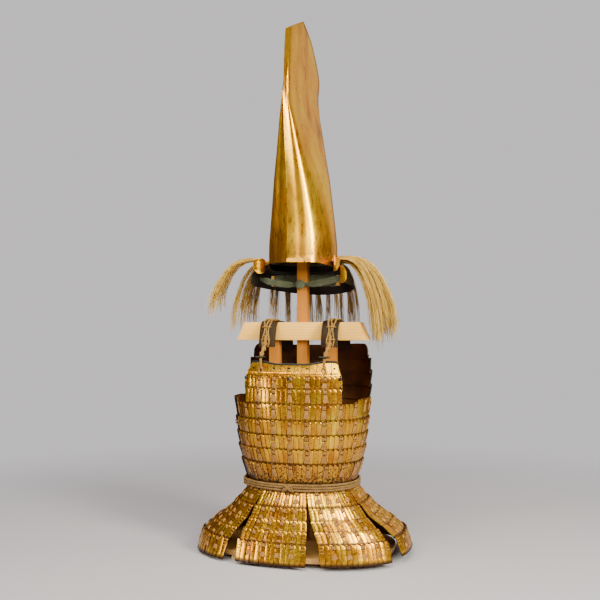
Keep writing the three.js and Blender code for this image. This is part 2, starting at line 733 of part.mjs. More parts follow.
const NECK_OPEN = 78;
const NECK_LAMES = [
  {
    name: "neck_lame_upper",
    head: { z: 848, half: 103.7, depth: 120, rise: 4 },
    foot: { z: 812, half: 128, depth: 142, rise: 22 },
  },
  {
    name: "neck_lame_lower",
    head: { z: 817, half: 129, depth: 143, rise: 22 },
    foot: { z: 762, half: 152, depth: 164, rise: 22 },
  },
];
const NECK_WALL = 2;

function neckPoint({ z, half, depth, rise }, angle, out) {
  const sideways = 1 - Math.abs(angle - Math.PI) / Math.PI;
  return [
    (half + out) * Math.sin(angle),
    -(depth + out) * Math.cos(angle),
    z + rise * (1 - smooth(sideways, 0.4, 1)),
  ];
}

for (const { name, head, foot } of NECK_LAMES) {
  const columns = 24;
  const angles = Array.from({ length: columns + 1 }, (_, i) =>
    mix(radians(NECK_OPEN), radians(360 - NECK_OPEN), i / columns),
  );
  const face = (out) => [head, foot].map((edge) => angles.map((angle) => neckPoint(edge, angle, out)));
  piece(name, wallGeometry(face(NECK_WALL), face(0)), BLACK_LACQUER, helmet);
}

// The wearer's right lower ear has sprung open, so that it points forward and down.
const EARS = [
  { name: "helmet_ear_upper_right", side: -1, lame: 0, height: 46, width: 44, curl: 105, sag: 0 },
  { name: "helmet_ear_upper_left", side: 1, lame: 0, height: 46, width: 44, curl: 105, sag: 0 },
  { name: "helmet_ear_lower_right", side: -1, lame: 1, height: 40, width: 34, curl: 40, sag: 14 },
  { name: "helmet_ear_lower_left", side: 1, lame: 1, height: 50, width: 52, curl: 95, sag: 6 },
];
const EAR_WALL = 2.2;

// A turned-back ear: a rounded plate that carries on from the lame's front end and curls outward.
function earGeometry({ side, lame, height, width, curl, sag }) {
  const columns = 8;
  const start = radians(NECK_OPEN);
  const { head, foot } = NECK_LAMES[lame];
  const [high, low] = [head, foot].map((edge) => neckPoint(edge, start, NECK_WALL / 2));
  const middle = high.map((value, axis) => (value + low[axis]) / 2);
  const away = [Math.sin(start), -Math.cos(start)];
  const ahead = [-Math.cos(start), -Math.sin(start)];
  const bend = width / radians(curl);
  const face = (out) => {
    const rows = [[], [], []];
    for (let i = 0; i <= columns; i++) {
      const share = i / columns;
      const turn = radians(curl) * share;
      const [across, along] = [bend - (bend + out) * Math.cos(turn), (bend + out) * Math.sin(turn) + 2 * CLEARANCE];
      const x = middle[0] + away[0] * across + ahead[0] * along;
      const y = middle[1] + away[1] * across + ahead[1] * along;
      const halfHeight = (height / 2) * (1 - Math.abs(share * 2 - 1) ** 3 * 0.62);
      const level = middle[2] - sag * share ** 2;
      rows[0].push([side * x, y, level + halfHeight]);
      rows[1].push([side * x, y, level]);
      rows[2].push([side * x, y, level - halfHeight]);
    }
    return rows;
  };
  return wallGeometry(face(EAR_WALL / 2), face(-EAR_WALL / 2));
}

for (const ear of EARS) piece(ear.name, earGeometry(ear), GOLD, helmet);

// Lining: a cloth dome inside the bowl, sewn from four gores, which sits on the block at the top of the post.

const LINING = { foot: 860, knee: 902, crown: 948, wall: 2, gap: 0.5 };

function liningGeometry() {
  const rim = HELMET_SECTIONS[1];
  const shell = (shrink, lower) => {
    const at = (z, keep) =>
      helmetRing({ ...rim, frontZ: z - lower, backZ: z - lower }, shrink, 9).map(([x, y, level]) => [
        x * keep,
        y * keep,
        level,
      ]);
    return [at(LINING.foot + lower, 1), at(LINING.knee, 0.94), at(LINING.knee + 30, 0.8), at(LINING.crown, 0.45)];
  };
  const outer = shell(HELMET_WALL + LINING.gap, 0);
  const inner = shell(HELMET_WALL + LINING.gap + LINING.wall, LINING.wall);
  const lid = (ring, z, turned) =>
    ring
      .slice(0, -1)
      .map((p, i) => (turned ? [[0, 0, z], p, ring[i + 1]] : [[0, 0, z], ring[i + 1], p]));
  return geometryOf([
    ...sheetTriangles([...outer].reverse()),
    ...sheetTriangles([...inner].reverse(), true),
    ...zipTriangles(firstOf(inner), firstOf(outer)),
    ...lid(lastOf(outer), LINING.crown + 4, true),
    ...lid(lastOf(inner), LINING.crown + 4 - LINING.wall, false),
  ]);
}

const GORES = [
  { name: "helmet_lining_front_left", x: 1, y: -1 },
  { name: "helmet_lining_front_right", x: -1, y: -1 },
  { name: "helmet_lining_back_left", x: 1, y: 1 },
  { name: "helmet_lining_back_right", x: -1, y: 1 },
];
const wholeLining = manifoldOf(liningGeometry());
for (const { name, x, y } of GORES) {
  const gore = wholeLining.trimByPlane([x, 0, 0], CLEARANCE / 2).trimByPlane([0, y, 0], CLEARANCE / 2);
  piece(name, geometryFromManifold(gore), GREEN_CLOTH, helmet);
}

// Chin band: a cloth band from the neck guard's sides, tied round the post below the bowl.

const CHIN_BAND = { side: 138.6, sideY: -14, sideZ: 806, postZ: 786, width: 20, thickness: 3, bulge: 9 };

function chinBandGeometry() {
  const steps = 12;
  const front = -POST_SIDE / 2 - CLEARANCE - 1.5;
  const face = (out) => {
    const rows = [[], []];
    for (let i = 0; i <= steps; i++) {
      const share = (i / steps) * 2 - 1;
      const away = Math.abs(share);
      const x = share * CHIN_BAND.side;
      const y = mix(front, CHIN_BAND.sideY, away) - CHIN_BAND.bulge * Math.sin(away * Math.PI) ** 2;
      const z = mix(CHIN_BAND.postZ, CHIN_BAND.sideZ, away ** 1.5);
      const gathered = mix(0.45, 1, smooth(away, 0.05, 0.35)) - 0.5 * smooth(away, 0.8, 1);
      const half = (CHIN_BAND.width / 2) * gathered;
      rows[0].push([x, y - out, z + half]);
      rows[1].push([x, y - out, z - half]);
    }
    return rows;
  };
  return wallGeometry(face(CHIN_BAND.thickness), face(0));
}

piece("chin_band", chinBandGeometry(), GREEN_CLOTH, helmet);

// The band's flat knot, in front of the post, and the short cloth-wrapped bar behind the post.

const CHIN_KNOT = { width: 32, depth: 9, height: 28 };
const HELMET_BAR = { half: 106, depth: 16, bottom: 784, top: 815 };
const BAR_WRAP = { half: 97, wall: 2 };
{
  const knot = new THREE.SphereGeometry(0.5, 8, 5);
  knot.scale(CHIN_KNOT.width, CHIN_KNOT.depth, CHIN_KNOT.height);
  const front = -POST_SIDE / 2 - 2 * CLEARANCE - 1.5 - CHIN_BAND.thickness - CHIN_KNOT.depth / 2;
  piece("chin_knot", moved(knot, 0, front, CHIN_BAND.postZ), GREEN_CLOTH, helmet);
  const { half, depth, bottom, top } = HELMET_BAR;
  const bar = new THREE.BoxGeometry(2 * half, depth, top - bottom);
  const behind = (POST_SIDE + depth) / 2 + 2 * CLEARANCE + BAR_WRAP.wall;
  piece("helmet_bar", moved(bar, 0, behind, (bottom + top) / 2), CYPRESS);
  const room = [depth + 2 * CLEARANCE, top - bottom + 2 * CLEARANCE];
  const cloth = room.map((size) => size + 2 * BAR_WRAP.wall);
  const sleeve = manifoldOf(new THREE.BoxGeometry(2 * BAR_WRAP.half, ...cloth));
  const inside = manifoldOf(new THREE.BoxGeometry(3 * half, ...room));
  const wrap = geometryFromManifold(sleeve.subtract(inside));
  piece("bar_wrap", moved(wrap, 0, behind, (bottom + top) / 2), GREEN_CLOTH);
}

// Padded block on top of the post, under the lining.

function headBlockGeometry() {
  const profile = [
    [0, POST_TOP + CLEARANCE],
    [34, POST_TOP + CLEARANCE],
    [40, POST_TOP + 7],
    [32, LINING.crown - LINING.wall + 0.6],
    [0, LINING.crown + 4 - LINING.wall - CLEARANCE],
  ];
  const block = new THREE.LatheGeometry(profile.map((p) => new THREE.Vector2(...p)), 20);
  return block.rotateX(QUARTER);
}

piece("stand_head_block", headBlockGeometry(), CYPRESS);

// Hair: locks that spring from a narrow strip above the neck guard, pass over it and fall.
// away: how far a lock swings out; drop: how far its tip falls; rise: its first upward arch.

const HAIR_STRIP = { half: 103.7, depth: 120, height: 7, thickness: 3 };
const LOCK_GROUPS = {
  left: [
    { from: 80, to: 100, count: 6, away: 160, drop: 222, rise: 20, thick: 6, loose: 0.12 },
    { from: 84, to: 112, count: 4, away: 126, drop: 208, rise: 10, thick: 5, loose: 0.06 },
    { from: 104, to: 124, count: 5, away: 124, drop: 246, rise: 14, thick: 5, loose: 0.12 },
    { from: 130, to: 174, count: 5, away: 54, drop: 192, rise: 4, thick: 3.2, loose: 0.15 },
  ],
  right: [
    { from: 80, to: 90, count: 3, away: 188, drop: 158, rise: 22, thick: 5, loose: 0.06 },
    { from: 93, to: 112, count: 5, away: 132, drop: 196, rise: 14, thick: 4.4, loose: 0.1 },
    { from: 117, to: 174, count: 8, away: 60, drop: 200, rise: 4, thick: 3.6, loose: 0.15 },
  ],
};
const LOCK_STEPS = 5;
const LOCK_SIDES = 3;

// A repeatable value between -1 and 1 for a lock.
function vary(seed) {
  const wave = Math.sin(seed * 12.9898) * 43758.5453;
  return (wave - Math.floor(wave)) * 2 - 1;
}

// How far out the neck guard stands at an angle and a height, from the hair strip's oval.
function guardStanding(angle, z) {
  const edges = NECK_LAMES.flatMap(({ head, foot }) => [
    { ...head, z: neckPoint(head, angle, 0)[2] },
    { ...foot, z: neckPoint(foot, angle, 0)[2] },
  ]);
  const below = edges.findIndex((edge) => edge.z <= z);
  if (below === 0) return edges[0].half - HAIR_STRIP.half;
  if (below < 0) return lastOf(edges).half - HAIR_STRIP.half;
  const [high, low] = [edges[below - 1], edges[below]];
  return mix(low.half, high.half, (z - low.z) / (high.z - low.z)) - HAIR_STRIP.half;
}

// The strip's lower edge follows the head of the upper lame.
function stripFoot(angle) {
  return neckPoint(NECK_LAMES[0].head, angle, 0)[2] + 2 * CLEARANCE;
}

function hairPoint(angle, out, z) {
  return [(HAIR_STRIP.half + out) * Math.sin(angle), -(HAIR_STRIP.depth + out) * Math.cos(angle), z];
}

function lockGeometry(side, group, index) {
  const share = index / (group.count - 1);
  const seed = index + group.from + side * 7;
  const angle = radians(mix(group.from, group.to, share));
  const away = group.away * (1 + group.loose * vary(seed));
  const drop = group.drop * (1 + 0.12 * vary(seed + 3));
  const drift = radians(7) * vary(seed + 5);
  const points = [];
  const radii = [];
  for (let i = 0; i <= LOCK_STEPS; i++) {
    const t = i / LOCK_STEPS;
    const turned = angle + drift * t;
    const radius = group.thick * (0.55 + 1.1 * t) * (1 - t ** 3) + 0.6;
    const fall = group.rise * Math.sin(Math.PI * Math.min(1, t * 1.6)) - drop * t ** 1.75;
    const z = stripFoot(angle) + HAIR_STRIP.height / 2 + fall;
    const free = 1.5 + away * (1 - (1 - t) ** 2.1);
    const held = guardStanding(turned, z - radius) + NECK_WALL + radius + 2;
    const [x, y] = hairPoint(turned, i ? Math.max(free, held) : 1.5, z);
    points.push([side * x, y, z]);
    radii.push(radius);
  }
  return tubeGeometry(points, radii, LOCK_SIDES);
}

function hairGeometry(side, groups) {
  const columns = 12;
  const angles = Array.from({ length: columns + 1 }, (_, i) => radians(mix(79.5, 178, i / columns)));
  const face = (out) =>
    [HAIR_STRIP.height, 0].map((above) =>
      angles.map((angle) => {
        const [x, y, level] = hairPoint(angle, out, stripFoot(angle) + above);
        return [side * x, y, level];
      }),
    );
  let whole = manifoldOf(wallGeometry(face(HAIR_STRIP.thickness), face(0)));
  for (const group of groups)
    for (let i = 0; i < group.count; i++) whole = whole.add(manifoldOf(lockGeometry(side, group, i)));
  return geometryFromManifold(whole);
}

piece("hair_left", hairGeometry(1, LOCK_GROUPS.left), PALE_HAIR, helmet);
piece("hair_right", hairGeometry(-1, LOCK_GROUPS.right), PALE_HAIR, helmet);

// The origin is under the middle of the whole, on the floor.

const whole = new THREE.Box3().setFromObject(armour, true);
armour.position.x = -(whole.min.x + whole.max.x) / 2;
armour.position.y = -(whole.min.y + whole.max.y) / 2;

export default armour;
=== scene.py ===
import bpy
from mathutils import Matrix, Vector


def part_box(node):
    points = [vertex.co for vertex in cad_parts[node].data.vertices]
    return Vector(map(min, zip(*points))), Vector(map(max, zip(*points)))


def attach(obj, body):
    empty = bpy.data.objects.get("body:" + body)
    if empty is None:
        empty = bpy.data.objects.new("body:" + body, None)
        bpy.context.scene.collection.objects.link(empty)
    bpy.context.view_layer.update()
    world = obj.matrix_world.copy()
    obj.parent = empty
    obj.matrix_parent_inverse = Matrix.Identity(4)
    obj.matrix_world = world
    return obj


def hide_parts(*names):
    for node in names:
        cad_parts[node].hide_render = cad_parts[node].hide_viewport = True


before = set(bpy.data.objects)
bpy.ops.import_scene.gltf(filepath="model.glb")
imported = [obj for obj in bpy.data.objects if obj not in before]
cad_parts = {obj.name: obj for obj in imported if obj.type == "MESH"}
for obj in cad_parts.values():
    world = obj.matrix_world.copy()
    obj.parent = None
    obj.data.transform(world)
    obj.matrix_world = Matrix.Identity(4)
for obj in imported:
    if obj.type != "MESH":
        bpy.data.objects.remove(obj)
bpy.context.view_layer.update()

import math
import random

import bmesh
import bpy
import numpy as np
from mathutils import Matrix, Vector

# Camera and studio. The camera stands 2.4 m from the stand's middle post, a little to the wearer's left.
# The floor is plain and pale and fades into the backdrop grey; six large soft lights hang round it.

post_low, post_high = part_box("stand_post_middle")
HOME = Vector(((post_low[0] + post_high[0]) / 2, (post_low[1] + post_high[1]) / 2, 0))


def at_home(point):
    """A point in the maker's millimetres, from the middle of the post, in metres."""
    return Vector(point) / 1000 + HOME


VIEW_TURN = math.radians(15)
VIEW_TILT = math.radians(92.15)
VIEW_AWAY, VIEW_ASIDE, VIEW_HEIGHT = 2.4, 0.010, 0.65
camera_data = bpy.data.cameras.new("camera")
camera_data.sensor_width = 36
camera_data.lens = 48
camera = bpy.data.objects.new("camera", camera_data)
camera.location = HOME + Vector((math.sin(VIEW_TURN), -math.cos(VIEW_TURN), 0)) * VIEW_AWAY
camera.location -= Vector((math.cos(VIEW_TURN), math.sin(VIEW_TURN), 0)) * VIEW_ASIDE
camera.location.z = VIEW_HEIGHT
camera.rotation_euler = (VIEW_TILT, 0, VIEW_TURN)
bpy.context.collection.objects.link(camera)
bpy.context.scene.camera = camera


WARM_WHITE = (1, 1, 0.66)


def soft_light(name, place, target, size, watts, tint=WARM_WHITE):
    """A large rectangular light, turned to its target. It doesn't show in the picture."""
    lamp = bpy.data.lights.new(name, "AREA")
    lamp.shape = "RECTANGLE"
    lamp.size, lamp.size_y = size
    lamp.energy = watts
    lamp.color = tint
    made = bpy.data.objects.new(name, lamp)
    made.location = place
    made.rotation_euler = (Vector(target) - Vector(place)).to_track_quat("-Z", "Y").to_euler()
    made.visible_camera = False
    bpy.context.collection.objects.link(made)


soft_light("window_right", (2.9, -1.75, 2.1), (0, 0, 1.0), (0.9, 1.9), 250)
soft_light("low_left", (-2.3, -2.0, 0.35), (0, 0, 0.3), (0.9, 0.5), 20, (1, 0.9, 0.74))
soft_light("behind_camera", (1.8, -3.1, 1.9), (0, 0, 0.8), (2.2, 1.1), 70)
soft_light("front_bank", (-0.6, -2.3, 2.9), (0, 0, 0.2), (2.8, 1.2), 120)
soft_light("ceiling", (0.0, -0.6, 3.3), (0, 0, 0.4), (2.8, 1.8), 85, (1, 0.9, 0.76))
soft_light("backdrop_glow", (1.9, 2.9, 1.9), (0, 0, 1.0), (2.4, 2.4), 13, (1, 0.88, 0.72))

BOUNCED_GREY = (0.074, 0.05, 0.034, 1)
BACKDROP_GREY = (0.74, 0.71, 0.722, 1)
world = bpy.data.worlds.new("backdrop")
bpy.context.scene.world = world
world.use_nodes = True
seen = world.node_tree.nodes.new("ShaderNodeLightPath").outputs["Is Camera Ray"]
shown = world.node_tree.nodes.new("ShaderNodeMix")
shown.data_type = "RGBA"
shown.inputs[6].default_value = BOUNCED_GREY
shown.inputs[7].default_value = BACKDROP_GREY
world.node_tree.links.new(seen, shown.inputs[0])
world.node_tree.links.new(shown.outputs[2], world.node_tree.nodes["Background"].inputs["Color"])


def add(tree, kind, inputs=None, **settings):
    """Adds a node. Its inputs are given by name or number, as a value or as a socket to link."""
    made = tree.nodes.new(kind)
    for key, value in settings.items():
        setattr(made, key, value)
    for key, value in (inputs or {}).items():
        socket = made.inputs[key]
        if isinstance(value, bpy.types.NodeSocket):
            tree.links.new(value, socket)
        else:
            socket.default_value = value
    return made


def material(name, **plain):
    """A material with one Principled shader. Returns the material, its tree and the shader."""
    made = bpy.data.materials.new(name)
    made.use_nodes = True
    shader = made.node_tree.nodes["Principled BSDF"]
    for key, value in plain.items():
        shader.inputs[key.replace("_", " ")].default_value = value
    return made, made.node_tree, shader


def ramp(tree, value, *stops):
    """A colour ramp: each stop is (position, colour)."""
    made = add(tree, "ShaderNodeValToRGB", {"Fac": value})
    band = made.color_ramp
    while len(band.elements) < len(stops):
        band.elements.new(0.5)
    for element, (position, colour) in zip(band.elements, stops):
        element.position = position
        element.color = (*colour, 1) if len(colour) == 3 else colour
    return made.outputs["Color"]


def mixed(tree, share, one, other, blend="MIX"):
    """Two colours mixed by a share."""
    inputs = {0: share, 6: one, 7: other}
    return add(tree, "ShaderNodeMix", inputs, data_type="RGBA", blend_type=blend).outputs[2]


def worked(tree, operation, first, second, third=0.0):
    """The result of one sum on two or three values."""
    return add(tree, "ShaderNodeMath", {0: first, 1: second, 2: third}, operation=operation).outputs[0]


def solid_from(name, points, faces, looks, face_looks=None, sharp=35):
    """A mesh object whose place is in its mesh, smooth-shaded but for its sharp edges."""
    mesh = bpy.data.meshes.new(name)
    mesh.from_pydata([tuple(p) for p in points], [], faces)
    shell = bmesh.new()
    shell.from_mesh(mesh)
    bmesh.ops.remove_doubles(shell, verts=shell.verts, dist=1e-6)
    bmesh.ops.recalc_face_normals(shell, faces=shell.faces)
    shell.to_mesh(mesh)
    shell.free()
    for look in looks:
        mesh.materials.append(look)
    if face_looks:
        mesh.polygons.foreach_set("material_index", face_looks)
    mesh.shade_smooth()
    mesh.set_sharp_from_angle(angle=math.radians(sharp))
    made = bpy.data.objects.new(name, mesh)
    bpy.context.collection.objects.link(made)
    return made


def placed(piece, slot, *nodes):
    """The piece rides with the armour and stands for the nodes named, which are hidden. slot: not used."""
    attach(piece, "root")
    if nodes:
        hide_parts(*nodes)
    return piece


floor_look, tree, shader = material("studio_floor", Roughness=0.75)
place = add(tree, "ShaderNodeTexCoord").outputs["Object"]
distance = add(tree, "ShaderNodeVectorMath", {0: place}, operation="LENGTH").outputs["Value"]
FLOOR_WHOLE, FLOOR_GONE, FLOOR_EDGE = 0.7, 2.4, 6.0
faded = {0: distance, 1: FLOOR_WHOLE, 2: FLOOR_GONE, 3: 1.0, 4: 0.0}
near = add(tree, "ShaderNodeMapRange", faded, interpolation_type="SMOOTHSTEP")
shade = add(tree, "ShaderNodeTexNoise", {"Vector": place, "Scale": 0.8})
tint = ramp(tree, shade.outputs[0], (0.3, (0.40, 0.385, 0.53)), (0.7, (0.42, 0.405, 0.555)))
tree.links.new(tint, shader.inputs["Base Color"])
tree.links.new(near.outputs[0], shader.inputs["Alpha"])
turns = [k * math.pi / 32 for k in range(64)]
edge = [(FLOOR_EDGE * math.cos(turn), FLOOR_EDGE * math.sin(turn), 0) for turn in turns]
floor = solid_from("studio_floor", edge, [tuple(range(64))], [floor_look])

# Stand: planed cypress. An oval board on two battens, three square posts let into it, a crossbar with
# sloped ends over the posts, and a turned block under the helmet. The arrises are lightly rounded.


def new_group(name, kind, inputs, outputs):
    """A node group with its named sockets, each given as name: type. Returns it, its start and its finish."""
    group = bpy.data.node_groups.new(name, kind)
    for way, sockets in (("INPUT", inputs), ("OUTPUT", outputs)):
        for socket, value_type in sockets.items():
            group.interface.new_socket(socket, in_out=way, socket_type="NodeSocket" + value_type)
    return group, add(group, "NodeGroupInput"), add(group, "NodeGroupOutput")


def grain_group():
    """Long soft growth lines and fine pores, along the third axis of the vector given."""
    inputs = {"Vector": "Vector", "Line Scale": "Float"}
    outputs = {"Lines": "Float", "Pores": "Float"}
    group, start, finish = new_group("planed_grain", "ShaderNodeTree", inputs, outputs)
    long_way = add(group, "ShaderNodeMapping", {"Vector": start.outputs[0], "Scale": (1, 1, 0.06)})
    bend = add(group, "ShaderNodeTexNoise", {"Vector": long_way.outputs[0], "Scale": 9.0, "Detail": 2.0})
    push = {0: bend.outputs[1], 1: (0.03, 0.03, 0.03)}
    pushed = add(group, "ShaderNodeVectorMath", push, operation="MULTIPLY")
    both = {0: long_way.outputs[0], 1: pushed.outputs[0]}
    moved = add(group, "ShaderNodeVectorMath", both, operation="ADD")
    lines = add(
        group,
        "ShaderNodeTexWave",
        {"Vector": moved.outputs[0], "Scale": start.outputs[1], "Distortion": 1.5, "Detail": 1.0},
        wave_type="RINGS",
        rings_direction="Z",
    )
    thin = add(group, "ShaderNodeMapping", {"Vector": start.outputs[0], "Scale": (1, 1, 0.03)})
    pores = add(group, "ShaderNodeTexNoise", {"Vector": thin.outputs[0], "Scale": 900.0, "Detail": 2.0})
    group.links.new(lines.outputs["Fac"], finish.inputs[0])
    group.links.new(pores.outputs[0], finish.inputs[1])
    return group


planed_grain = grain_group()


TREE_HEART = (0.05, 0.11, 0)


def bumped(tree, shader, height, strength, distance):
    """Lets a height show on a surface."""
    bump = add(tree, "ShaderNodeBump", {"Height": height, "Strength": strength, "Distance": distance})
    tree.links.new(bump.outputs[0], shader.inputs["Normal"])


def cypress(name, turn, colour):
    """Planed cypress whose grain is turned to run along the piece."""
    look, tree, shader = material(name, Roughness=0.52, Specular_IOR_Level=0.35)
    place = add(tree, "ShaderNodeTexCoord").outputs["Object"]
    turned = add(tree, "ShaderNodeMapping", {"Vector": place, "Rotation": turn, "Location": TREE_HEART})
    grain = add(tree, "ShaderNodeGroup", node_tree=planed_grain)
    tree.links.new(turned.outputs[0], grain.inputs["Vector"])
    grain.inputs["Line Scale"].default_value = 34
    lines = ramp(tree, grain.outputs["Lines"], (0.1, colour), (0.85, [value * 0.92 for value in colour]))
    pores = ramp(tree, grain.outputs["Pores"], (0.35, (0.88, 0.84, 0.8)), (0.6, (1, 1, 1)))
    tree.links.new(mixed(tree, 0.6, lines, pores, "MULTIPLY"), shader.inputs["Base Color"])
    bumped(tree, shader, grain.outputs["Pores"], 0.12, 0.0006)
    return look


cypress_upright = cypress("cypress_upright", (0, 0, 0), (0.50, 0.168, 0.014))
cypress_across = cypress("cypress_across", (0, math.pi / 2, 0), (1.0, 0.53, 0.12))
# The board's cypress is darker than the rest of the stand's: painted shade, for the board lies in shadow
# under the skirt.
cypress_board_painted_shade = cypress("cypress_board_painted_shade", (0, math.pi / 2, 0), (0.55, 0.28, 0.10))
cypress_deep = cypress("cypress_deep", (math.pi / 2, 0, 0), (0.78, 0.50, 0.26))
STAND_PIECES = [
    ("stand_board", cypress_board_painted_shade, 0.0022),
    ("stand_batten_left", cypress_deep, 0.0012),
    ("stand_batten_right", cypress_deep, 0.0012),
    ("stand_post_left", cypress_upright, 0.0012),
    ("stand_post_middle", cypress_upright, 0.0012),
    ("stand_post_right", cypress_upright, 0.0012),
    ("stand_crossbar", cypress_across, 0.0018),
    ("stand_head_block", cypress_upright, 0.001),
    ("helmet_bar", cypress_across, 0.001),
]
for node_name, look, rounding in STAND_PIECES:
    block = bmesh.new()
    block.from_mesh(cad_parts[node_name].data)
    bmesh.ops.remove_doubles(block, verts=block.verts, dist=1e-6)
    bmesh.ops.dissolve_limit(block, angle_limit=math.radians(1), verts=block.verts, edges=block.edges)
    arrises = [edge for edge in block.edges if len(edge.link_faces) == 2 and edge.calc_face_angle() > 0.5]
    bmesh.ops.bevel(block, geom=arrises, offset=rounding, segments=2, affect="EDGES", profile=0.6)
    planed = bpy.data.meshes.new(node_name + "_planed")
    block.to_mesh(planed)
    block.free()
    planed.materials.clear()
    planed.materials.append(look)
    planed.polygons.foreach_set("material_index", [0] * len(planed.polygons))
    planed.shade_smooth()
    planed.set_sharp_from_angle(angle=math.radians(30))
    piece = bpy.data.objects.new(node_name + "_planed", planed)
    bpy.context.collection.objects.link(piece)
    placed(piece, "stand_wood", node_name)

# Lames: rows of narrow hide and iron scales, each lapped on the next, lacquered dark all over and then
# gilt on the outer face. The leaf has rubbed through on high places, and more at the waist. Each scale's
# side edges are black lacquer, drawn wider as painted shadow in the gaps, and its foot has painted shade
# under the next row's head.


def rub_group():
    """Where leaf or lacquer has worn: broad patches, small flecks and a fine height."""
    inputs = {"Vector": "Vector", "Patch Scale": "Float", "Fleck Scale": "Float"}
    outputs = {"Patches": "Float", "Flecks": "Float", "Height": "Float"}
    group, start, finish = new_group("leaf_rub", "ShaderNodeTree", inputs, outputs)
    place, patch_scale, fleck_scale = start.outputs[:3]
    coarse_scale = worked(group, "MULTIPLY", fleck_scale, 0.45)
    kinds = [(patch_scale, 5.0, 0.6), (fleck_scale, 4.0, 0.7), (coarse_scale, 1.5, 0.5)]
    for result, (scale, detail, roughness) in zip(finish.inputs, kinds):
        cloud = {"Vector": place, "Scale": scale, "Detail": detail, "Roughness": roughness}
        group.links.new(add(group, "ShaderNodeTexNoise", cloud).outputs[0], result)
    return group


leaf_rub = rub_group()


def attribute(tree, name):
    """A value that the mesh carries."""
    return add(tree, "ShaderNodeAttribute", attribute_name=name).outputs["Fac"]


def rubbed(tree, vector, patch_scale, fleck_scale):
    """The wear of one material, with its own scales."""
    rub = add(tree, "ShaderNodeGroup", node_tree=leaf_rub)
    tree.links.new(vector, rub.inputs["Vector"])
    rub.inputs["Patch Scale"].default_value = patch_scale
    rub.inputs["Fleck Scale"].default_value = fleck_scale
    return rub


DARK_GROUND = (0.028, 0.012, 0.006, 1)
DULLED_LEAF = (0.42, 0.17, 0.03, 1)
NO_WEAR = (-2, -1)


def gilt(
    name, patch_scale, rough, ripple, fleck_scale=160, low_wear=NO_WEAR, bared=0.34, streak=1, scales=False
):
    """Gold leaf over dark lacquer. low_wear: heights between which the leaf goes from worn to whole. bared:
    how much dark shows where it is worn. streak: under 1 it draws the wear out upward. scales: the mesh
    carries a tone for each scale and where its leaf lies, with painted shade at each scale's foot and side
    edges."""
    look, tree, shader = material(name, Specular_IOR_Level=0.15)
    place = add(tree, "ShaderNodeTexCoord").outputs["Object"]
    drawn = add(tree, "ShaderNodeMapping", {"Vector": place, "Scale": (1, 1, streak)})
    rub = rubbed(tree, drawn.outputs[0], patch_scale, fleck_scale)
    leaf = ramp(
        tree,
        rub.outputs["Patches"],
        (0.26, (0.40, 0.14, 0.02)),
        (0.44, (0.82, 0.36, 0.02)),
        (0.70, (1.0, 0.63, 0.035)),
    )
    brown = ramp(tree, rub.outputs["Flecks"], (0.28, (0.34, 0.2, 0.1)), (0.42, (1, 1, 1)))
    leaf = mixed(tree, 0.75, leaf, brown, "MULTIPLY")
    height = add(tree, "ShaderNodeSeparateXYZ", {0: place}).outputs["Z"]
    low = add(tree, "ShaderNodeMapRange", {0: height, 1: low_wear[0], 2: low_wear[1]})
    worn = worked(tree, "SUBTRACT", 1.0, low.outputs[0])
    leaf = mixed(tree, worked(tree, "MULTIPLY", worn, 0.85), leaf, DULLED_LEAF)
    bare = worked(tree, "MULTIPLY_ADD", worn, bared, rub.outputs["Flecks"])
    keep = ramp(tree, bare, (0.66, (1, 1, 1)), (0.72, (0, 0, 0)))
    if scales:
        tone = attribute(tree, "tone")
        shift = ramp(tree, tone, (0.0, (0.62, 0.52, 0.42)), (0.45, (0.95, 0.93, 0.9)), (1.0, (1, 1.04, 1.1)))
        leaf = mixed(tree, 1.0, leaf, shift, "MULTIPLY")
        # Where the gilt value is low the leaf gives way to the dark ground: on the back and rim, and as
        # painted shade at each scale's foot and side edges.
        edge = add(tree, "ShaderNodeMapRange", {0: attribute(tree, "gilt"), 1: 0.55, 2: 0.85})
        keep = worked(tree, "MULTIPLY", keep, edge.outputs[0])
    tree.links.new(mixed(tree, keep, DARK_GROUND, leaf), shader.inputs["Base Color"])
    tree.links.new(worked(tree, "MULTIPLY", keep, 0.93), shader.inputs["Metallic"])
    shine = worked(tree, "MULTIPLY_ADD", rub.outputs["Flecks"], 0.28, rough - 0.12)
    tree.links.new(shine, shader.inputs["Roughness"])
    creased = worked(tree, "MULTIPLY", rub.outputs["Height"], worked(tree, "MULTIPLY_ADD", worn, 6.0, 1.0))
    bumped(tree, shader, creased, ripple, 0.0012)
    return look


def lacquer(name, deep, light, rough):
    """Polished lacquer that varies between two tones."""
    look, tree, shader = material(name, Specular_IOR_Level=0.2)
    place = add(tree, "ShaderNodeTexCoord").outputs["Object"]
    rub = rubbed(tree, place, 11, 220)
    colour = ramp(tree, rub.outputs["Patches"], (0.35, deep), (0.7, light))
    tree.links.new(colour, shader.inputs["Base Color"])
    shine = worked(tree, "MULTIPLY_ADD", rub.outputs["Flecks"], 0.3, rough - 0.1)
    tree.links.new(shine, shader.inputs["Roughness"])
    bumped(tree, shader, rub.outputs["Height"], 0.15, 0.0008)
    return look


gilt_scales = gilt("gilt_scales", 20, rough=0.26, ripple=0.36, low_wear=(0.18, 0.33), bared=0.29, scales=True)
gilt_skirt = gilt("gilt_skirt", 15, rough=0.25, ripple=0.3, fleck_scale=120, scales=True)
brown_lacquer = lacquer("brown_lacquer", (0.03, 0.008, 0.002), (0.12, 0.033, 0.006), rough=0.5)
black_lacquer = lacquer("black_lacquer", (0.008, 0.007, 0.007), (0.022, 0.018, 0.016), rough=0.3)

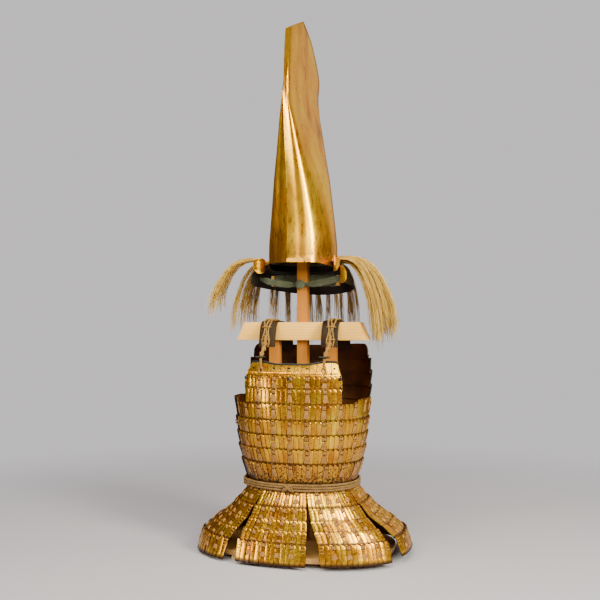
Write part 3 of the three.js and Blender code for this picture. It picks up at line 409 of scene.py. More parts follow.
BODY_SECTIONS = [
    (190, 153, 125, 116),
    (224, 157, 127, 118),
    (254, 165, 134, 125),
    (296, 176, 143, 134),
    (346, 183, 148, 141),
    (411, 189, 150, 147),
    (460, 193, 146, 150),
    (510, 198, 138, 150),
    (560, 196, 124, 147),
    (620, 189, 107, 139),
]
SKIRT_SECTIONS = [
    (5, 317, 210, 208),
    (68, 293, 192, 189),
    (97, 253, 177, 173),
    (123, 213, 164, 158),
    (156, 184, 151, 143),
    (188, 163, 134, 126),
    (198, 154, 125.5, 116.5),
    (214, 150.5, 121.1, 112.1),
]


def section_at(table, z):
    """Half width, front depth and back depth of the oval at a height."""
    heights, *sizes = zip(*table)
    return [float(np.interp(z, heights, size)) for size in sizes]


def oval_point(section, angle, out, z):
    """A point on an oval body. The angle starts at the front and grows to the wearer's left."""
    half, front, back = section
    sine, cosine = math.sin(angle), math.cos(angle)
    depth, power = (front, 2 / 2.3) if cosine > 0 else (back, 2 / 2.8)
    x = (half + out) * math.copysign(abs(sine) ** power, sine)
    y = -(depth + out) * math.copysign(abs(cosine) ** power, cosine)
    return Vector((x, y, z))


def even_angles(section, start, end, shares):
    """Angles that cut the arc into the given shares of its length, and that length."""
    angles = np.linspace(start, end, 801)
    spots = np.array([oval_point(section, a, 0, 0)[:2] for a in angles])
    lengths = np.concatenate([[0], np.cumsum(np.hypot(*np.diff(spots, axis=0).T))])
    return np.interp(np.array(shares) * lengths[-1], lengths, angles), lengths[-1]


def smooth(value, low, high):
    """Goes softly from 0 to 1 as the value goes from low to high."""
    t = min(1, max(0, (value - low) / (high - low)))
    return t * t * (3 - 2 * t)


SCALE_PITCH = 14
SCALE_PLATE = (16.5, 46.0, 1.7)


def thin_plate(rows, columns):
    """Faces of a plate in two layers, each a grid of rows by columns, with the rim between them last."""
    row = columns + 1
    size = row * (rows + 1)
    faces = []
    for j in range(rows):
        for i in range(columns):
            a, d = j * row + i, (j + 1) * row + i
            faces += [(a, a + 1, d + 1, d), (a + size, d + size, d + 1 + size, a + 1 + size)]
    rim = list(range(columns)) + [j * row + columns for j in range(rows)]
    rim += [rows * row + i for i in range(columns, 0, -1)] + [j * row for j in range(rows, 0, -1)]
    return faces + [(b, a, a + size, b + size) for a, b in zip(rim, rim[1:] + rim[:1])]


def scale_plate(name):
    """One scale: a narrow domed plate with a slanted, rounded head, gilt on its face only, with painted shade
    at its foot and along its side edges.
    """
    width, height, thick = SCALE_PLATE
    across, along = 6, 7
    points, leaf_with_painted_shade = [], []
    for layer in (1, 0):
        for j in range(along + 1):
            for i in range(across + 1):
                u, v = (-1, -0.74, -0.45, 0, 0.45, 0.74, 1)[i], j / along * 2 - 1
                dome = 0.8 * (1 - u * u) * min(1, (1 - abs(v)) * 9)
                rounding = max(0, abs(u) - 0.5) ** 2 * 10 * (v > 0.95)
                y = v * height / 2 - rounding - (2.6 * (u + 1) if v > 0.95 else 0)
                points.append(Vector((u * width / 2, y, layer * thick + dome * layer)) / 1000)
                # Painted shade: the foot, under the next row's head, and the side edges, in the gaps between
                # scales, get a low gilt value and lose their leaf.
                foot = 0.5 if v < -0.95 else (0.62 if v < -0.6 else 1.0)
                leaf_with_painted_shade.append((foot if abs(u) < 1 else 0.35) if layer else 0.45 * (v > 0.95))
    made = solid_from(name, points, thin_plate(along, across), [], sharp=60)
    mask = made.data.attributes.new("gilt", "FLOAT", "POINT")
    mask.data.foreach_set("value", leaf_with_painted_shade)
    return made


def rows_tree():
    """Sets one shape at every point, turned and stretched by the point's own values."""
    inputs = {"Places": "Geometry", "Shape": "Object", "Size": "Float", "Finish": "Material"}
    group, start, finish = new_group("laid_in_rows", "GeometryNodeTree", inputs, {"Geometry": "Geometry"})
    chance = add(group, "FunctionNodeRandomValue", {"Seed": 7}, data_type="FLOAT")
    toned = add(
        group,
        "GeometryNodeStoreNamedAttribute",
        {"Geometry": start.outputs["Places"], "Name": "tone", "Value": chance.outputs[1]},
        data_type="FLOAT",
        domain="POINT",
    )
    shape = add(group, "GeometryNodeObjectInfo", {"Object": start.outputs["Shape"]})
    turn = add(group, "GeometryNodeInputNamedAttribute", {"Name": "turn"}, data_type="FLOAT_VECTOR")
    stretch = add(group, "GeometryNodeInputNamedAttribute", {"Name": "stretch"}, data_type="FLOAT_VECTOR")
    sized = add(
        group,
        "ShaderNodeVectorMath",
        {0: stretch.outputs["Attribute"], "Scale": start.outputs["Size"]},
        operation="SCALE",
    )
    euler = add(group, "FunctionNodeEulerToRotation", {"Euler": turn.outputs["Attribute"]})
    laid = add(
        group,
        "GeometryNodeInstanceOnPoints",
        {
            "Points": toned.outputs[0],
            "Instance": shape.outputs["Geometry"],
            "Rotation": euler.outputs[0],
            "Scale": sized.outputs[0],
        },
    )
    solid = add(group, "GeometryNodeRealizeInstances", {"Geometry": laid.outputs[0]})
    look = {"Geometry": solid.outputs[0], "Material": start.outputs["Finish"]}
    coated = add(group, "GeometryNodeSetMaterial", look)
    group.links.new(coated.outputs[0], finish.inputs[0])
    return group


laid_in_rows = rows_tree()


def grown(name, seed_mesh, group, values):
    """Runs a geometry tree on a mesh and keeps the result as a plain mesh object."""
    seed = bpy.data.objects.new(name + "_seed", seed_mesh)
    bpy.context.collection.objects.link(seed)
    modifier = seed.modifiers.new("grow", "NODES")
    modifier.node_group = group
    for socket in group.interface.items_tree:
        if socket.in_out == "INPUT" and socket.name in values:
            modifier[socket.identifier] = values[socket.name]
    seed.update_tag()
    depsgraph = bpy.context.evaluated_depsgraph_get()
    mesh = bpy.data.meshes.new_from_object(seed.evaluated_get(depsgraph), depsgraph=depsgraph)
    bpy.data.objects.remove(seed)
    mesh.name = name
    made = bpy.data.objects.new(name, mesh)
    bpy.context.collection.objects.link(made)
    return made


def laid(name, shape, places, finish):
    """Copies of a shape at places: (middle, across, up, stretch), in metres."""
    seed = bpy.data.meshes.new(name + "_places")
    seed.from_pydata([tuple(p[0]) for p in places], [], [])
    turns, stretches = [], []
    for _, across, up, stretch in places:
        out = across.cross(up).normalized()
        across = up.cross(out).normalized()
        turns += list(Matrix((across, up.normalized(), out)).transposed().to_euler())
        stretches += list(stretch)
    seed.attributes.new("turn", "FLOAT_VECTOR", "POINT").data.foreach_set("vector", turns)
    seed.attributes.new("stretch", "FLOAT_VECTOR", "POINT").data.foreach_set("vector", stretches)
    return grown(name, seed, laid_in_rows, {"Shape": shape, "Finish": finish, "Size": 1.0})


def joined(first, *others):
    """The pieces made one mesh, under the first one's name."""
    pieces = [first, *others]
    with bpy.context.temp_override(
        active_object=first, object=first, selected_objects=pieces, selected_editable_objects=pieces
    ):
        bpy.ops.object.join()
    return first


scale_shape = scale_plate("one_scale")

# Lacing: flat tan silk braid in doubled columns. In each row it shows as a small crossed square below the
# row's head and as a fan that spreads to the next row's head. It is lacquered over with the scales.


def braid_group():
    """Crossing threads, and the soil that collects in them."""
    inputs = {"Vector": "Vector", "Thread Scale": "Float"}
    outputs = {"Threads": "Float", "Soil": "Float"}
    group, start, finish = new_group("braid_weave", "ShaderNodeTree", inputs, outputs)
    waves = []
    for slant in (0.78, -0.78):
        way = add(group, "ShaderNodeMapping", {"Vector": start.outputs[0], "Rotation": (0, slant, 0.4)})
        wave = {"Vector": way.outputs[0], "Scale": start.outputs[1], "Distortion": 1.0}
        waves.append(add(group, "ShaderNodeTexWave", wave).outputs["Fac"])
    soil = add(group, "ShaderNodeTexNoise", {"Vector": start.outputs[0], "Scale": 60.0, "Detail": 4.0})
    group.links.new(worked(group, "MAXIMUM", *waves), finish.inputs[0])
    group.links.new(soil.outputs[0], finish.inputs[1])
    return group


braid_weave = braid_group()


def braid_look(name, light, dark, pitch, rough=0.85, leaf=0.0):
    """Braid or laid cord: light threads, with painted shade between them. pitch: metres from thread to
    thread.
    leaf: how much of the gilt leaf over it still shines."""
    look, tree, shader = material(name, Roughness=rough, Metallic=leaf)
    weave = add(tree, "ShaderNodeGroup", node_tree=braid_weave)
    tree.links.new(add(tree, "ShaderNodeTexCoord").outputs["Object"], weave.inputs["Vector"])
    weave.inputs["Thread Scale"].default_value = 0.31 / pitch
    # Painted shade: the grooves between the threads are drawn in the dark tone.
    threads = ramp(tree, weave.outputs["Threads"], (0.45, dark), (0.95, light))
    soiled = ramp(tree, weave.outputs["Soil"], (0.3, (0.62, 0.55, 0.46)), (0.62, (1, 1, 1)))
    tree.links.new(mixed(tree, 0.8, threads, soiled, "MULTIPLY"), shader.inputs["Base Color"])
    bumped(tree, shader, weave.outputs["Threads"], 0.5, 0.0005)
    return look


lacing_tones = (0.50, 0.25, 0.075), (0.20, 0.08, 0.016)
lacing_braid = braid_look("lacing_braid", *lacing_tones, 0.0016, rough=0.6, leaf=0.2)


def lofted(rings):
    """Points and faces of a bar through rings of points. Its two end faces come last."""
    size = len(rings[0])
    faces = []
    for k in range(len(rings) - 1):
        for j in range(size):
            a, b = k * size + j, k * size + (j + 1) % size
            faces.append((a, b, b + size, a + size))
    last = (len(rings) - 1) * size
    faces += [tuple(reversed(range(size))), tuple(range(last, last + size))]
    return [point for ring in rings for point in ring], faces


def strand(start, end, widths, rise):
    """Rings of an arched strip from start to end, flat beneath."""
    steps, arch = 4, 4
    along = (end - start).normalized()
    side = Vector((along.y, -along.x, 0))
    rings = []
    for i in range(steps + 1):
        t = i / steps
        middle = start.lerp(end, t)
        width = widths[0] + (widths[1] - widths[0]) * t
        lift = rise * (0.55 + 0.45 * math.sin(math.pi * t))
        ring = []
        for k in range(arch + 1):
            a = math.pi * k / arch
            raised = Vector((0, 0, math.sin(a) * lift))
            ring.append((middle + side * (-math.cos(a) * width / 2) + raised) / 1000)
        rings.append(ring)
    return rings


def lace_shape(name, strands):
    """One lacing pattern, of strips that cross. A strip is (start, end, widths, rise), in millimetres."""
    points, faces = [], []
    for start, end, widths, rise in strands:
        more_points, more_faces = lofted(strand(Vector((*start, 0)), Vector((*end, 0)), widths, rise))
        faces += [tuple(len(points) + corner for corner in face) for face in more_faces]
        points += more_points
    return solid_from(name, points, faces, [], sharp=70)


lace_square = lace_shape(
    "lace_square",
    [
        ((-4.2, 4.4), (4.2, -4.4), (3.4, 3.4), 1.9),
        ((-4.2, -4.4), (4.2, 4.4), (3.4, 3.4), 2.6),
        ((-4.4, 4.8), (-4.4, -4.8), (1.8, 1.8), 1.0),
        ((4.4, 4.8), (4.4, -4.8), (1.8, 1.8), 1.0),
    ],
)
fan_braids = [((x * 0.5, 10), (x, -10), (2.6, 4.4), 1.8) for x in (-6.2, -2.1, 2.1, 6.2)]
lace_fan = lace_shape("lace_fan", fan_braids)
lace_bar = lace_shape("lace_bar", [((-5, 0), (5, 0), (2.8, 2.8), 1.5)])
bed_square = lace_shape("bed_square", [((0, 6.6), (0, -6.6), (13.4, 13.4), 0.7)])
bed_fan = lace_shape("bed_fan", [((0, 10.8), (0, -10.8), (10.0, 20.0), 0.7)])

# Cuirass rows. A row's head stands out over the foot of the row above it. The long rows pass right round
# the body, and their front ends lap over their back ends under the wearer's right arm.

HEAD_STANDING = 5.2
FRONT_ROWS = [("front_lame_upper", 522, 481, 39.5, 1.02), ("front_lame_lower", 487, 437, 41, 1.1)]
LONG_ROWS = [
    ("body_lame_1", 443, 392),
    ("body_lame_2", 398, 350),
    ("body_lame_3", 356, 311),
    ("body_lame_4", 317, 269),
    ("body_lame_5", 275, 211),
]
BACK_ROWS = [
    ("back_lame_upper", 567, 521, 67, 1.03),
    ("back_lame_middle", 527, 479, 69, 1.02),
    ("back_lame_lower", 485, 437, 70, 1.02),
]
LONG_START, LONG_END = math.radians(-97), math.radians(276)
# From the start of a long row to this angle its scales are drawn in black lacquer, a dark band under the
# right arm.
DARK_BEHIND = math.radians(-67)
LACE_PITCH = 47.5
LAP_STANDING = 8.4
UNDERARM_RISE = 13


def opening_lap(angle):
    """How far the front end stands out where it laps over the back end."""
    return LAP_STANDING * smooth(-angle, math.radians(68), math.radians(80))


def underarm_rise(angle):
    """How far the top long row rises under the arms."""
    turn = abs(math.degrees(math.atan2(math.sin(angle), math.cos(angle))))
    return UNDERARM_RISE * smooth(turn, 56, 70) * (1 - smooth(turn, 97, 105))


def row_line(place_on, head, foot, count):
    """Pairs of head and foot points along a row, at scale middles."""
    shares = [(k + 0.5) / count for k in range(count)]
    return [(place_on(head, share, True), place_on(foot, share, False)) for share in shares]


def backing_wall(name, tops, bottoms, thick, look):
    """The plain inner wall behind a row: lacquered leather, closed all round."""
    rings = []
    for k, (top, bottom) in enumerate(zip(tops, bottoms)):
        side = tops[min(len(tops) - 1, k + 1)] - tops[max(0, k - 1)]
        out = side.cross(top - bottom).normalized() * thick / 1000
        rings.append([top, bottom, bottom + out, top + out])
    points, faces = lofted(rings)
    return solid_from(name, points, faces, [look], sharp=40)


def cord_tree():
    """Round or flat cord along every chain of edges, with the girth kept at each point."""
    inputs = {"Lines": "Geometry", "Radius": "Float", "Sides": "Int", "Finish": "Material"}
    group, start, finish = new_group("spun_cord", "GeometryNodeTree", inputs, {"Geometry": "Geometry"})
    curves = add(group, "GeometryNodeMeshToCurve", {"Mesh": start.outputs["Lines"]})
    girth = add(group, "GeometryNodeInputNamedAttribute", {"Name": "girth"}, data_type="FLOAT")
    thick = {"Curve": curves.outputs[0], "Radius": girth.outputs["Attribute"]}
    sized = add(group, "GeometryNodeSetCurveRadius", thick)
    circle = {"Resolution": start.outputs["Sides"], "Radius": start.outputs["Radius"]}
    profile = add(group, "GeometryNodeCurvePrimitiveCircle", circle)
    swept = {"Curve": sized.outputs[0], "Profile Curve": profile.outputs[0], "Fill Caps": True}
    tube = add(group, "GeometryNodeCurveToMesh", swept)
    softened = add(group, "GeometryNodeSetShadeSmooth", {"Geometry": tube.outputs[0]})
    solid = add(group, "GeometryNodeRealizeInstances", {"Geometry": softened.outputs[0]})
    look = {"Geometry": solid.outputs[0], "Material": start.outputs["Finish"]}
    coated = add(group, "GeometryNodeSetMaterial", look)
    group.links.new(coated.outputs[0], finish.inputs[0])
    return group


spun_cord = cord_tree()


def spun(name, lines, radius, sides, finish, girths=None, tones=None):
    """Cords along lines of points in metres. girths: their thickness along the line. tones: their shades."""
    points, edges, girth, tone = [], [], [], []
    for number, line in enumerate(lines):
        base = len(points)
        points += [tuple(p) for p in line]
        edges += [(base + k, base + k + 1) for k in range(len(line) - 1)]
        girth += girths[number] if girths else [1.0] * len(line)
        tone += [tones[number] if tones else 0.5] * len(line)
    seed = bpy.data.meshes.new(name + "_lines")
    seed.from_pydata(points, edges, [])
    seed.attributes.new("girth", "FLOAT", "POINT").data.foreach_set("value", girth)
    seed.attributes.new("tone", "FLOAT", "POINT").data.foreach_set("value", tone)
    return grown(name, seed, spun_cord, {"Radius": radius, "Sides": sides, "Finish": finish})


def bowed(before, low, high, after, t):
    """A point of a Catmull-Rom curve, t of the way from low to high."""
    return 0.5 * (
        2 * low
        + (high - before) * t
        + (2 * before - 5 * low + 4 * high - after) * t**2
        + (3 * low - before - 3 * high + after) * t**3
    )


def smooth_run(knots, steps):
    """Points on a smooth curve through the knots."""
    knots = [Vector(k) for k in knots]
    run = []
    for i in range(len(knots) - 1):
        spans = knots[max(i - 1, 0)], knots[i], knots[i + 1], knots[min(i + 2, len(knots) - 1)]
        run += [bowed(*spans, k / steps) for k in range(steps)]
    return run + [knots[-1]]


chance_tilt = random.Random(5)
STITCHES = -1
FAN_HALF_HEIGHT = 10


def scaled_row(name, place_on, head, foot, length, laces, look, pitch, hidden, uneven, spread, dark=0.0):
    """Scales, lacing and backing of one row, as one piece. laces: (share along the row, size) of each lacing
    column, where STITCHES stands for edge stitches. hidden: how much of the foot is covered. uneven: how
    crooked the scales lie. spread: how far a fan is drawn out. dark: the share of the row, from its start,
    whose scales are drawn in black lacquer instead of gilt."""
    count = max(3, round(length / pitch))
    pairs = row_line(place_on, head, foot, count)
    places = []
    for k, (top, bottom) in enumerate(pairs):
        near, far = pairs[max(0, k - 1)][0], pairs[min(count - 1, k + 1)][0]
        up = top - bottom
        across = (far - near).normalized()
        out = across.cross(up.normalized()).normalized()
        across = (across + out * (0.06 + chance_tilt.gauss(0, uneven))).normalized()
        up_tilted = (up.normalized() + out * chance_tilt.gauss(0, uneven * 0.5)).normalized()
        stretch = (length / count / SCALE_PITCH, up.length * 1000 / SCALE_PLATE[1], 1)
        places.append(((top + bottom) / 2 + out * 0.0008, across, up_tilted, stretch))
    plain = int(dark * count)
    piece = laid(name, scale_shape, places[plain:], look)
    shares = [k / (2 * count) for k in range(2 * count + 1)]
    tops = [place_on(head - 1.5, share, True) for share in shares]
    bottoms = [place_on(foot + 0.5, share, False) for share in shares]
    wall = backing_wall(name + "_backing", tops, bottoms, 1.2, brown_lacquer)
    squares, fans, bars = [], [], []
    for share, size in laces:
        top, bottom = place_on(head, share, True), place_on(foot, share, False)
        before, after = (place_on(head, min(1, max(0, share + step)), True) for step in (-0.004, 0.004))
        across = (after - before).normalized()
        up = (top - bottom).normalized()
        face = top + across.cross(up).normalized() * 0.0034
        if size == STITCHES:
            bars += [(face - up * (0.008 + 0.0085 * k), across, up, (0.9, 0.9, 1)) for k in range(3)]
            continue
        squares.append((face - up * 0.0105, across, up, (size, size, 1)))
        shown = (top - bottom).length * 1000 - hidden
        fan = min(1.3, max(0.25, (shown - 20) / 20)) * spread
        drop = min(shown, 40) - FAN_HALF_HEIGHT * fan + 0.5
        fans.append((face - up * drop / 1000, across, up, (size, fan, 1)))
    layers = [
        ("plain", scale_shape, places[:plain], black_lacquer),
        ("squares", lace_square, squares, lacing_braid),
        ("fans", lace_fan, fans, lacing_braid),
        ("square_beds", bed_square, squares, brown_lacquer),
        ("fan_beds", bed_fan, fans, brown_lacquer),
        ("bars", lace_bar, bars, lacing_braid),
    ]
    extra = [laid(f"{name}_{word}", *layer) for word, *layer in layers if layer[1]]
    return joined(piece, wall, *extra)


def cuirass_row(name, top, foot, start, end, flare, lap=None, rise=None):
    """One row of the cuirass, between two angles. flare: how much wider its foot is than its head. lap and
    rise: how far it stands out, and how far its head rises, at an angle."""
    middle = section_at(BODY_SECTIONS, (top + foot) / 2)
    centre = (start + end) / 2
    even = np.linspace(0, 1, 401)
    table, length = even_angles(middle, start, end, even)

    def place_on(z, share, at_head):
        """A point of the row, by its height and its share of the row's length."""
        angle = float(np.interp(share, even, table))
        height = z + (rise(angle) if at_head and rise else 0)
        turned = angle if at_head else centre + (angle - centre) * flare
        out = (HEAD_STANDING if at_head else 0) + (lap(angle) if lap else 0)
        return at_home(oval_point(section_at(BODY_SECTIONS, height), turned, out, height))

    front = np.interp(0 if start < 0 else math.pi, table, even)
    columns = int(length / LACE_PITCH) + 4
    dark = float(np.interp(DARK_BEHIND, table, even)) if lap else 0.0
    margin = 12 / length
    shares = [front + k * LACE_PITCH / length for k in range(-columns, columns + 1)]
    laces = [(share, 1.0) for share in shares if max(margin, dark) < share < 1 - margin]
    row = (top, foot, length, laces, gilt_scales, SCALE_PITCH)
    piece = scaled_row(name + "_laced", place_on, *row, hidden=6, uneven=0.028, spread=0.9, dark=dark)
    return placed(piece, "gilt_lacquer", name)


for name, top, foot, reach, flare in FRONT_ROWS:
    cuirass_row(name, top, foot, -math.radians(reach), math.radians(reach), flare)
for name, top, foot in LONG_ROWS:
    rise = underarm_rise if name == "body_lame_1" else None
    cuirass_row(name, top, foot, LONG_START, LONG_END, 1.0, opening_lap, rise)
for name, top, foot, reach, flare in BACK_ROWS:
    cuirass_row(name, top, foot, math.pi - math.radians(reach), math.pi + math.radians(reach), flare)


def edge_binding(name, middle, rows, look, radius, inset=0.0):
    """The lacquered or gilt edge down both ends of the short rows. inset: degrees in from the ends."""
    lines = []
    for side in (1, -1):
        knots = []
        for _, head, foot, reach, flare in rows:
            for z, turned, out in ((head - 1, reach, HEAD_STANDING), (foot + 9, reach * flare, 1)):
                angle = middle + side * math.radians(turned - inset)
                knots.append(at_home(oval_point(section_at(BODY_SECTIONS, z), angle, out + 1.4, z)))
        lines.append(smooth_run(knots, 6))
    placed(spun(name, lines, radius, 7, look), "dark_lacquer")


edge_binding("front_edges", 0, FRONT_ROWS, black_lacquer, 0.0019)
edge_binding("back_edges", math.pi, BACK_ROWS, black_lacquer, 0.0021)
edge_binding("back_rolls", math.pi, BACK_ROWS, gilt_scales, 0.0034, 1.3)

# Chest plate and back plate: solid lacquered plates with a black rolled rim, pierced with small holes.
# The leaf lies in upright strips that show as fine seams. At each side of the chest plate a narrow flange
# turns outward along the armhole.

gilt_plate = gilt("gilt_plate", 16, rough=0.27, ripple=0.35, low_wear=(0.30, 0.60))
gilt_ear = gilt("gilt_ear", 40, rough=0.30, ripple=0.9, fleck_scale=420)
PLATE_WALL = 2.5
PLATE_STANDING = 0.6
BEAD_PITCH = 5
PLATES = [
    ("chest_plate", 516, 555, 8, 38, 12, 0, [-33.5, -12.5, -1, 10.5, 25, 34]),
    ("back_plate", 561, 604, 5, 64, 22, 180, []),
]


def solid_plate(name, foot, neck, shoulder, reach, corner, centre, holes):
    """A plate from its foot up to its neck edge, and higher by shoulder at the sides, where its corners are
    rounded. It reaches to both sides of its centre, in degrees. holes: the angles of the pierced holes."""
    start, end = math.radians(centre - reach), math.radians(centre + reach)
    middle = section_at(BODY_SECTIONS, (foot + neck) / 2)
    _, length = even_angles(middle, start, end, [0, 1])
    half = length / 2
    strips = round(length / 20)
    seam = 0.8 / length
    shares = [0.0]
    for k in range(strips):
        shares += [k / strips + seam + (1 / strips - 2 * seam) * part / 4 for part in range(5)]
    shares += [1.0]
    angles, _ = even_angles(middle, start, end, shares)

    def top_of(share):
        """The height of the plate's upper edge."""
        along = abs(share - 0.5) * 2 * half
        left = half - along
        rounding = corner - math.sqrt(max(0, corner**2 - (corner - left) ** 2)) if left < corner else 0
        return neck + shoulder * smooth(along, 0.3 * half, 0.75 * half) - rounding

    def on_plate(angle, z, out):
        """A point on the plate's back, or out from it."""
        return at_home(oval_point(section_at(BODY_SECTIONS, z), angle, PLATE_STANDING + out, z))

    levels = [(0, 0), (0, 1), (0.5, 1), (0.86, 1), (0.90, 1.1), (0.93, 1.5), (0.97, 1.5), (1, 1.1)]
    levels += [(1, 0), (0.5, 0)]
    faces_of_level = ["rim", "face", "face", "rim", "rim", "rim", "rim", "inside", "inside", "inside"]
    rings = []
    for angle, share in zip(angles, shares):
        tall = top_of(share) - foot
        rings.append([on_plate(angle, foot + tall * lift, PLATE_WALL * depth) for lift, depth in levels])
    points, faces = lofted(rings)
    looks = []
    for i in range(len(rings) - 1):
        for kind in faces_of_level:
            seamed = kind == "face" and i % 5 == 0
            looks.append({"face": 0, "rim": 1, "inside": 2}["rim" if seamed else kind])
    looks += [1, 1]
    finishes = [gilt_plate, black_lacquer, brown_lacquer]
    piece = solid_from(name + "_gilt", points, faces, finishes, looks, sharp=40)
    eyes = []
    up = Vector((0, 0, 1))
    for turn in holes:
        angle = math.radians(turn)
        spot = on_plate(angle, foot + (neck - foot) * 0.62, PLATE_WALL - 0.3)
        out = Vector((math.sin(angle), -math.cos(angle), 0))
        side = Vector((math.cos(angle), math.sin(angle), 0))
        turns = [k * math.tau / 10 for k in range(10)]
        rim = [spot + (side * math.cos(a) + up * math.sin(a)) * 0.0040 for a in turns]
        raised = [p + out * 0.0007 for p in rim]
        eyes.append(solid_from(name + "_eye", *lofted([rim, raised]), [black_lacquer]))
    beads = []
    for k in range(int(length / BEAD_PITCH)):
        angle = float(np.interp((k + 0.5) * BEAD_PITCH / length, shares, angles))
        side = Vector((math.cos(angle), math.sin(angle), 0))
        beads.append((on_plate(angle, foot + 11, PLATE_WALL + 0.8), up, -side, (0.62, 1.4, 1.9)))
    eyes.append(laid(name + "_beads", lace_bar, beads, gilt_ear))
    return placed(joined(piece, *eyes), "gilt_lacquer", name)


for plate in PLATES:
    solid_plate(*plate)

for word, side, flange_width in (("right", -1, 5.0), ("left", 1, 2.6)):
    points = []
    steps, across = 28, 8
    for layer in (0, 1.6):
        for j in range(steps + 1):
            t = j / steps
            z = 548 - 108 * t
            start = 38 + 5.5 * t
            width = 0.8 + flange_width * math.sin(math.pi * min(1, t * 1.1)) ** 0.7
            for i in range(across + 1):
                angle = side * math.radians(start - 1.5 + width * i / across)
                turned = 1.4 * (i / across) ** 3 + layer
                points.append(at_home(oval_point(section_at(BODY_SECTIONS, z), angle, 1.0 + turned, z)))
    faces = thin_plate(steps, across)
    leaf_faces = 2 * steps * across
    looks = [0] * leaf_faces + [1] * (len(faces) - leaf_faces)
    finishes = [gilt_plate, black_lacquer]
    flange = solid_from(f"underarm_flange_{word}", points, faces, finishes, looks, sharp=40)
    placed(flange, "gilt_lacquer")

# Skirt: seven panels of five rows each, hung by lacing from the foot of the cuirass. Each row stands out
# over the one above. The bottom row is deeper, and extra stitches run down both side edges.

SKIRT_PANELS = [
    ("skirt_panel_front", 2),
    ("skirt_panel_front_left", 6),
    ("skirt_panel_side_left", 16),
    ("skirt_panel_back_left", 8),
    ("skirt_panel_back_right", 5),
    ("skirt_panel_side_right", 3),
    ("skirt_panel_front_right", 0),
]
SKIRT_ROWS = [(198, 156), (156, 123), (123, 97), (97, 68), (68, 6)]
SKIRT_HALF_WIDTHS = [(5, 103), (68, 98), (97, 91), (123, 83), (156, 75), (198, 64), (214, 61)]
SKIRT_HEAD, SKIRT_DEEP = 214, 208
SKIRT_SHIFT = -0.025
SKIRT_SCALE_PITCH = 13.2
SKIRT_SCALES = round(2 * 91 / SKIRT_SCALE_PITCH)
SKIRT_LACES = [(0.5 + k * 0.2, 0.98) for k in (-1.5, -0.5, 0.5, 1.5)] + [(0.035, STITCHES), (0.965, STITCHES)]


def walk_table(z):
    """The oval at a height, and the distance walked round it at each angle, from the front."""
    section = section_at(SKIRT_SECTIONS, z)
    angles = np.linspace(-2 * math.pi, 4 * math.pi, 2401)
    spots = np.array([oval_point(section, a, 0, 0)[:2] for a in angles])
    lengths = np.concatenate([[0], np.cumsum(np.hypot(*np.diff(spots, axis=0).T))])
    lengths -= np.interp(0, angles, lengths)
    return section, angles, lengths, np.interp(2 * math.pi, angles, lengths)


walked = {}


def half_width(z):
    """Half of a panel's width, which grows to its hem."""
    return float(np.interp(z, *zip(*SKIRT_HALF_WIDTHS)))


def panel_place(index, lift, stand):
    """Where a panel's points lie. lift: how far its hem is raised. stand: how far a row's head stands out."""

    def place_on(z, share, at_head):
        """A point of the panel, by its height and its share of the panel's width."""
        key = round(z, 3)
        if key not in walked:
            walked[key] = walk_table(z)
        section, angles, lengths, loop = walked[key]
        distance = (index / len(SKIRT_PANELS) + SKIRT_SHIFT) * loop + (share * 2 - 1) * half_width(z)
        spot = oval_point(section, float(np.interp(distance, lengths, angles)), stand if at_head else 0, z)
        spot.z += lift * ((SKIRT_HEAD - z) / SKIRT_DEEP) ** 2
        return at_home(spot)

    return place_on


for index, (name, lift) in enumerate(SKIRT_PANELS):
    rows = []
    for number, (head, foot) in enumerate(SKIRT_ROWS):
        lowest = number == len(SKIRT_ROWS) - 1
        place_on = panel_place(index, lift, (HEAD_STANDING if number else 0) + 0.2)
        length = 2 * half_width(head)
        row = (head, foot if lowest else foot - 7, length, SKIRT_LACES, gilt_skirt, length / SKIRT_SCALES)
        hidden = 16 if lowest else 7
        rows.append(scaled_row(f"{name}_{number}", place_on, *row, hidden=hidden, uneven=0.06, spread=0.5))
    place_on = panel_place(index, lift, 0)
    shares = [k / 16 for k in range(17)]
    tops = [place_on(SKIRT_HEAD, share, False) for share in shares]
    bottoms = [place_on(SKIRT_HEAD - 20, share, False) for share in shares]
    rows.append(backing_wall(name + "_hanger", tops, bottoms, 1.6, brown_lacquer))
    placed(joined(*rows), "gilt_lacquer", name)

for shape in (scale_shape, lace_square, lace_fan, lace_bar, bed_square, bed_fan):
    bpy.data.objects.remove(shape)

# Waist rope: three turns of three-ply tan cord round the foot of the cuirass. It is drawn tight over the
# lowest long row and tied in front, with two short ends below the knot.


def twisted(path, plies, offset, pitch):
    """Lines of a laid rope: each ply winds round the path. path: points in metres, evenly spaced."""
    lines = [[] for _ in range(plies)]
    travelled = 0.0
    side = Vector((0, 0, 1))
    for k, spot in enumerate(path):
        ahead = (path[min(k + 1, len(path) - 1)] - path[max(k - 1, 0)]).normalized()
        side = (side - ahead * side.dot(ahead)).normalized()
        other = ahead.cross(side)
        if k:
            travelled += (spot - path[k - 1]).length
        for ply in range(plies):
            turn = math.tau * (travelled / pitch + ply / plies)
            lines[ply].append(spot + (side * math.cos(turn) + other * math.sin(turn)) * offset)
    return lines


rope_braid = braid_look("rope_braid", (0.30, 0.16, 0.055), (0.09, 0.045, 0.014), 0.0012)
ROPE_MIDDLES = (213.5, 206.5, 199.5)
ROPE_RADIUS = 3.5
waist_section = section_at(BODY_SECTIONS, ROPE_MIDDLES[1])


def waist_point(angle, out, z):
    """A point over the foot of the cuirass, further out over the lap of the long rows."""
    stand = 6.4 + LAP_STANDING * smooth(-math.sin(angle), 0.8, 0.92)
    return at_home(oval_point(waist_section, angle, stand + out, z))


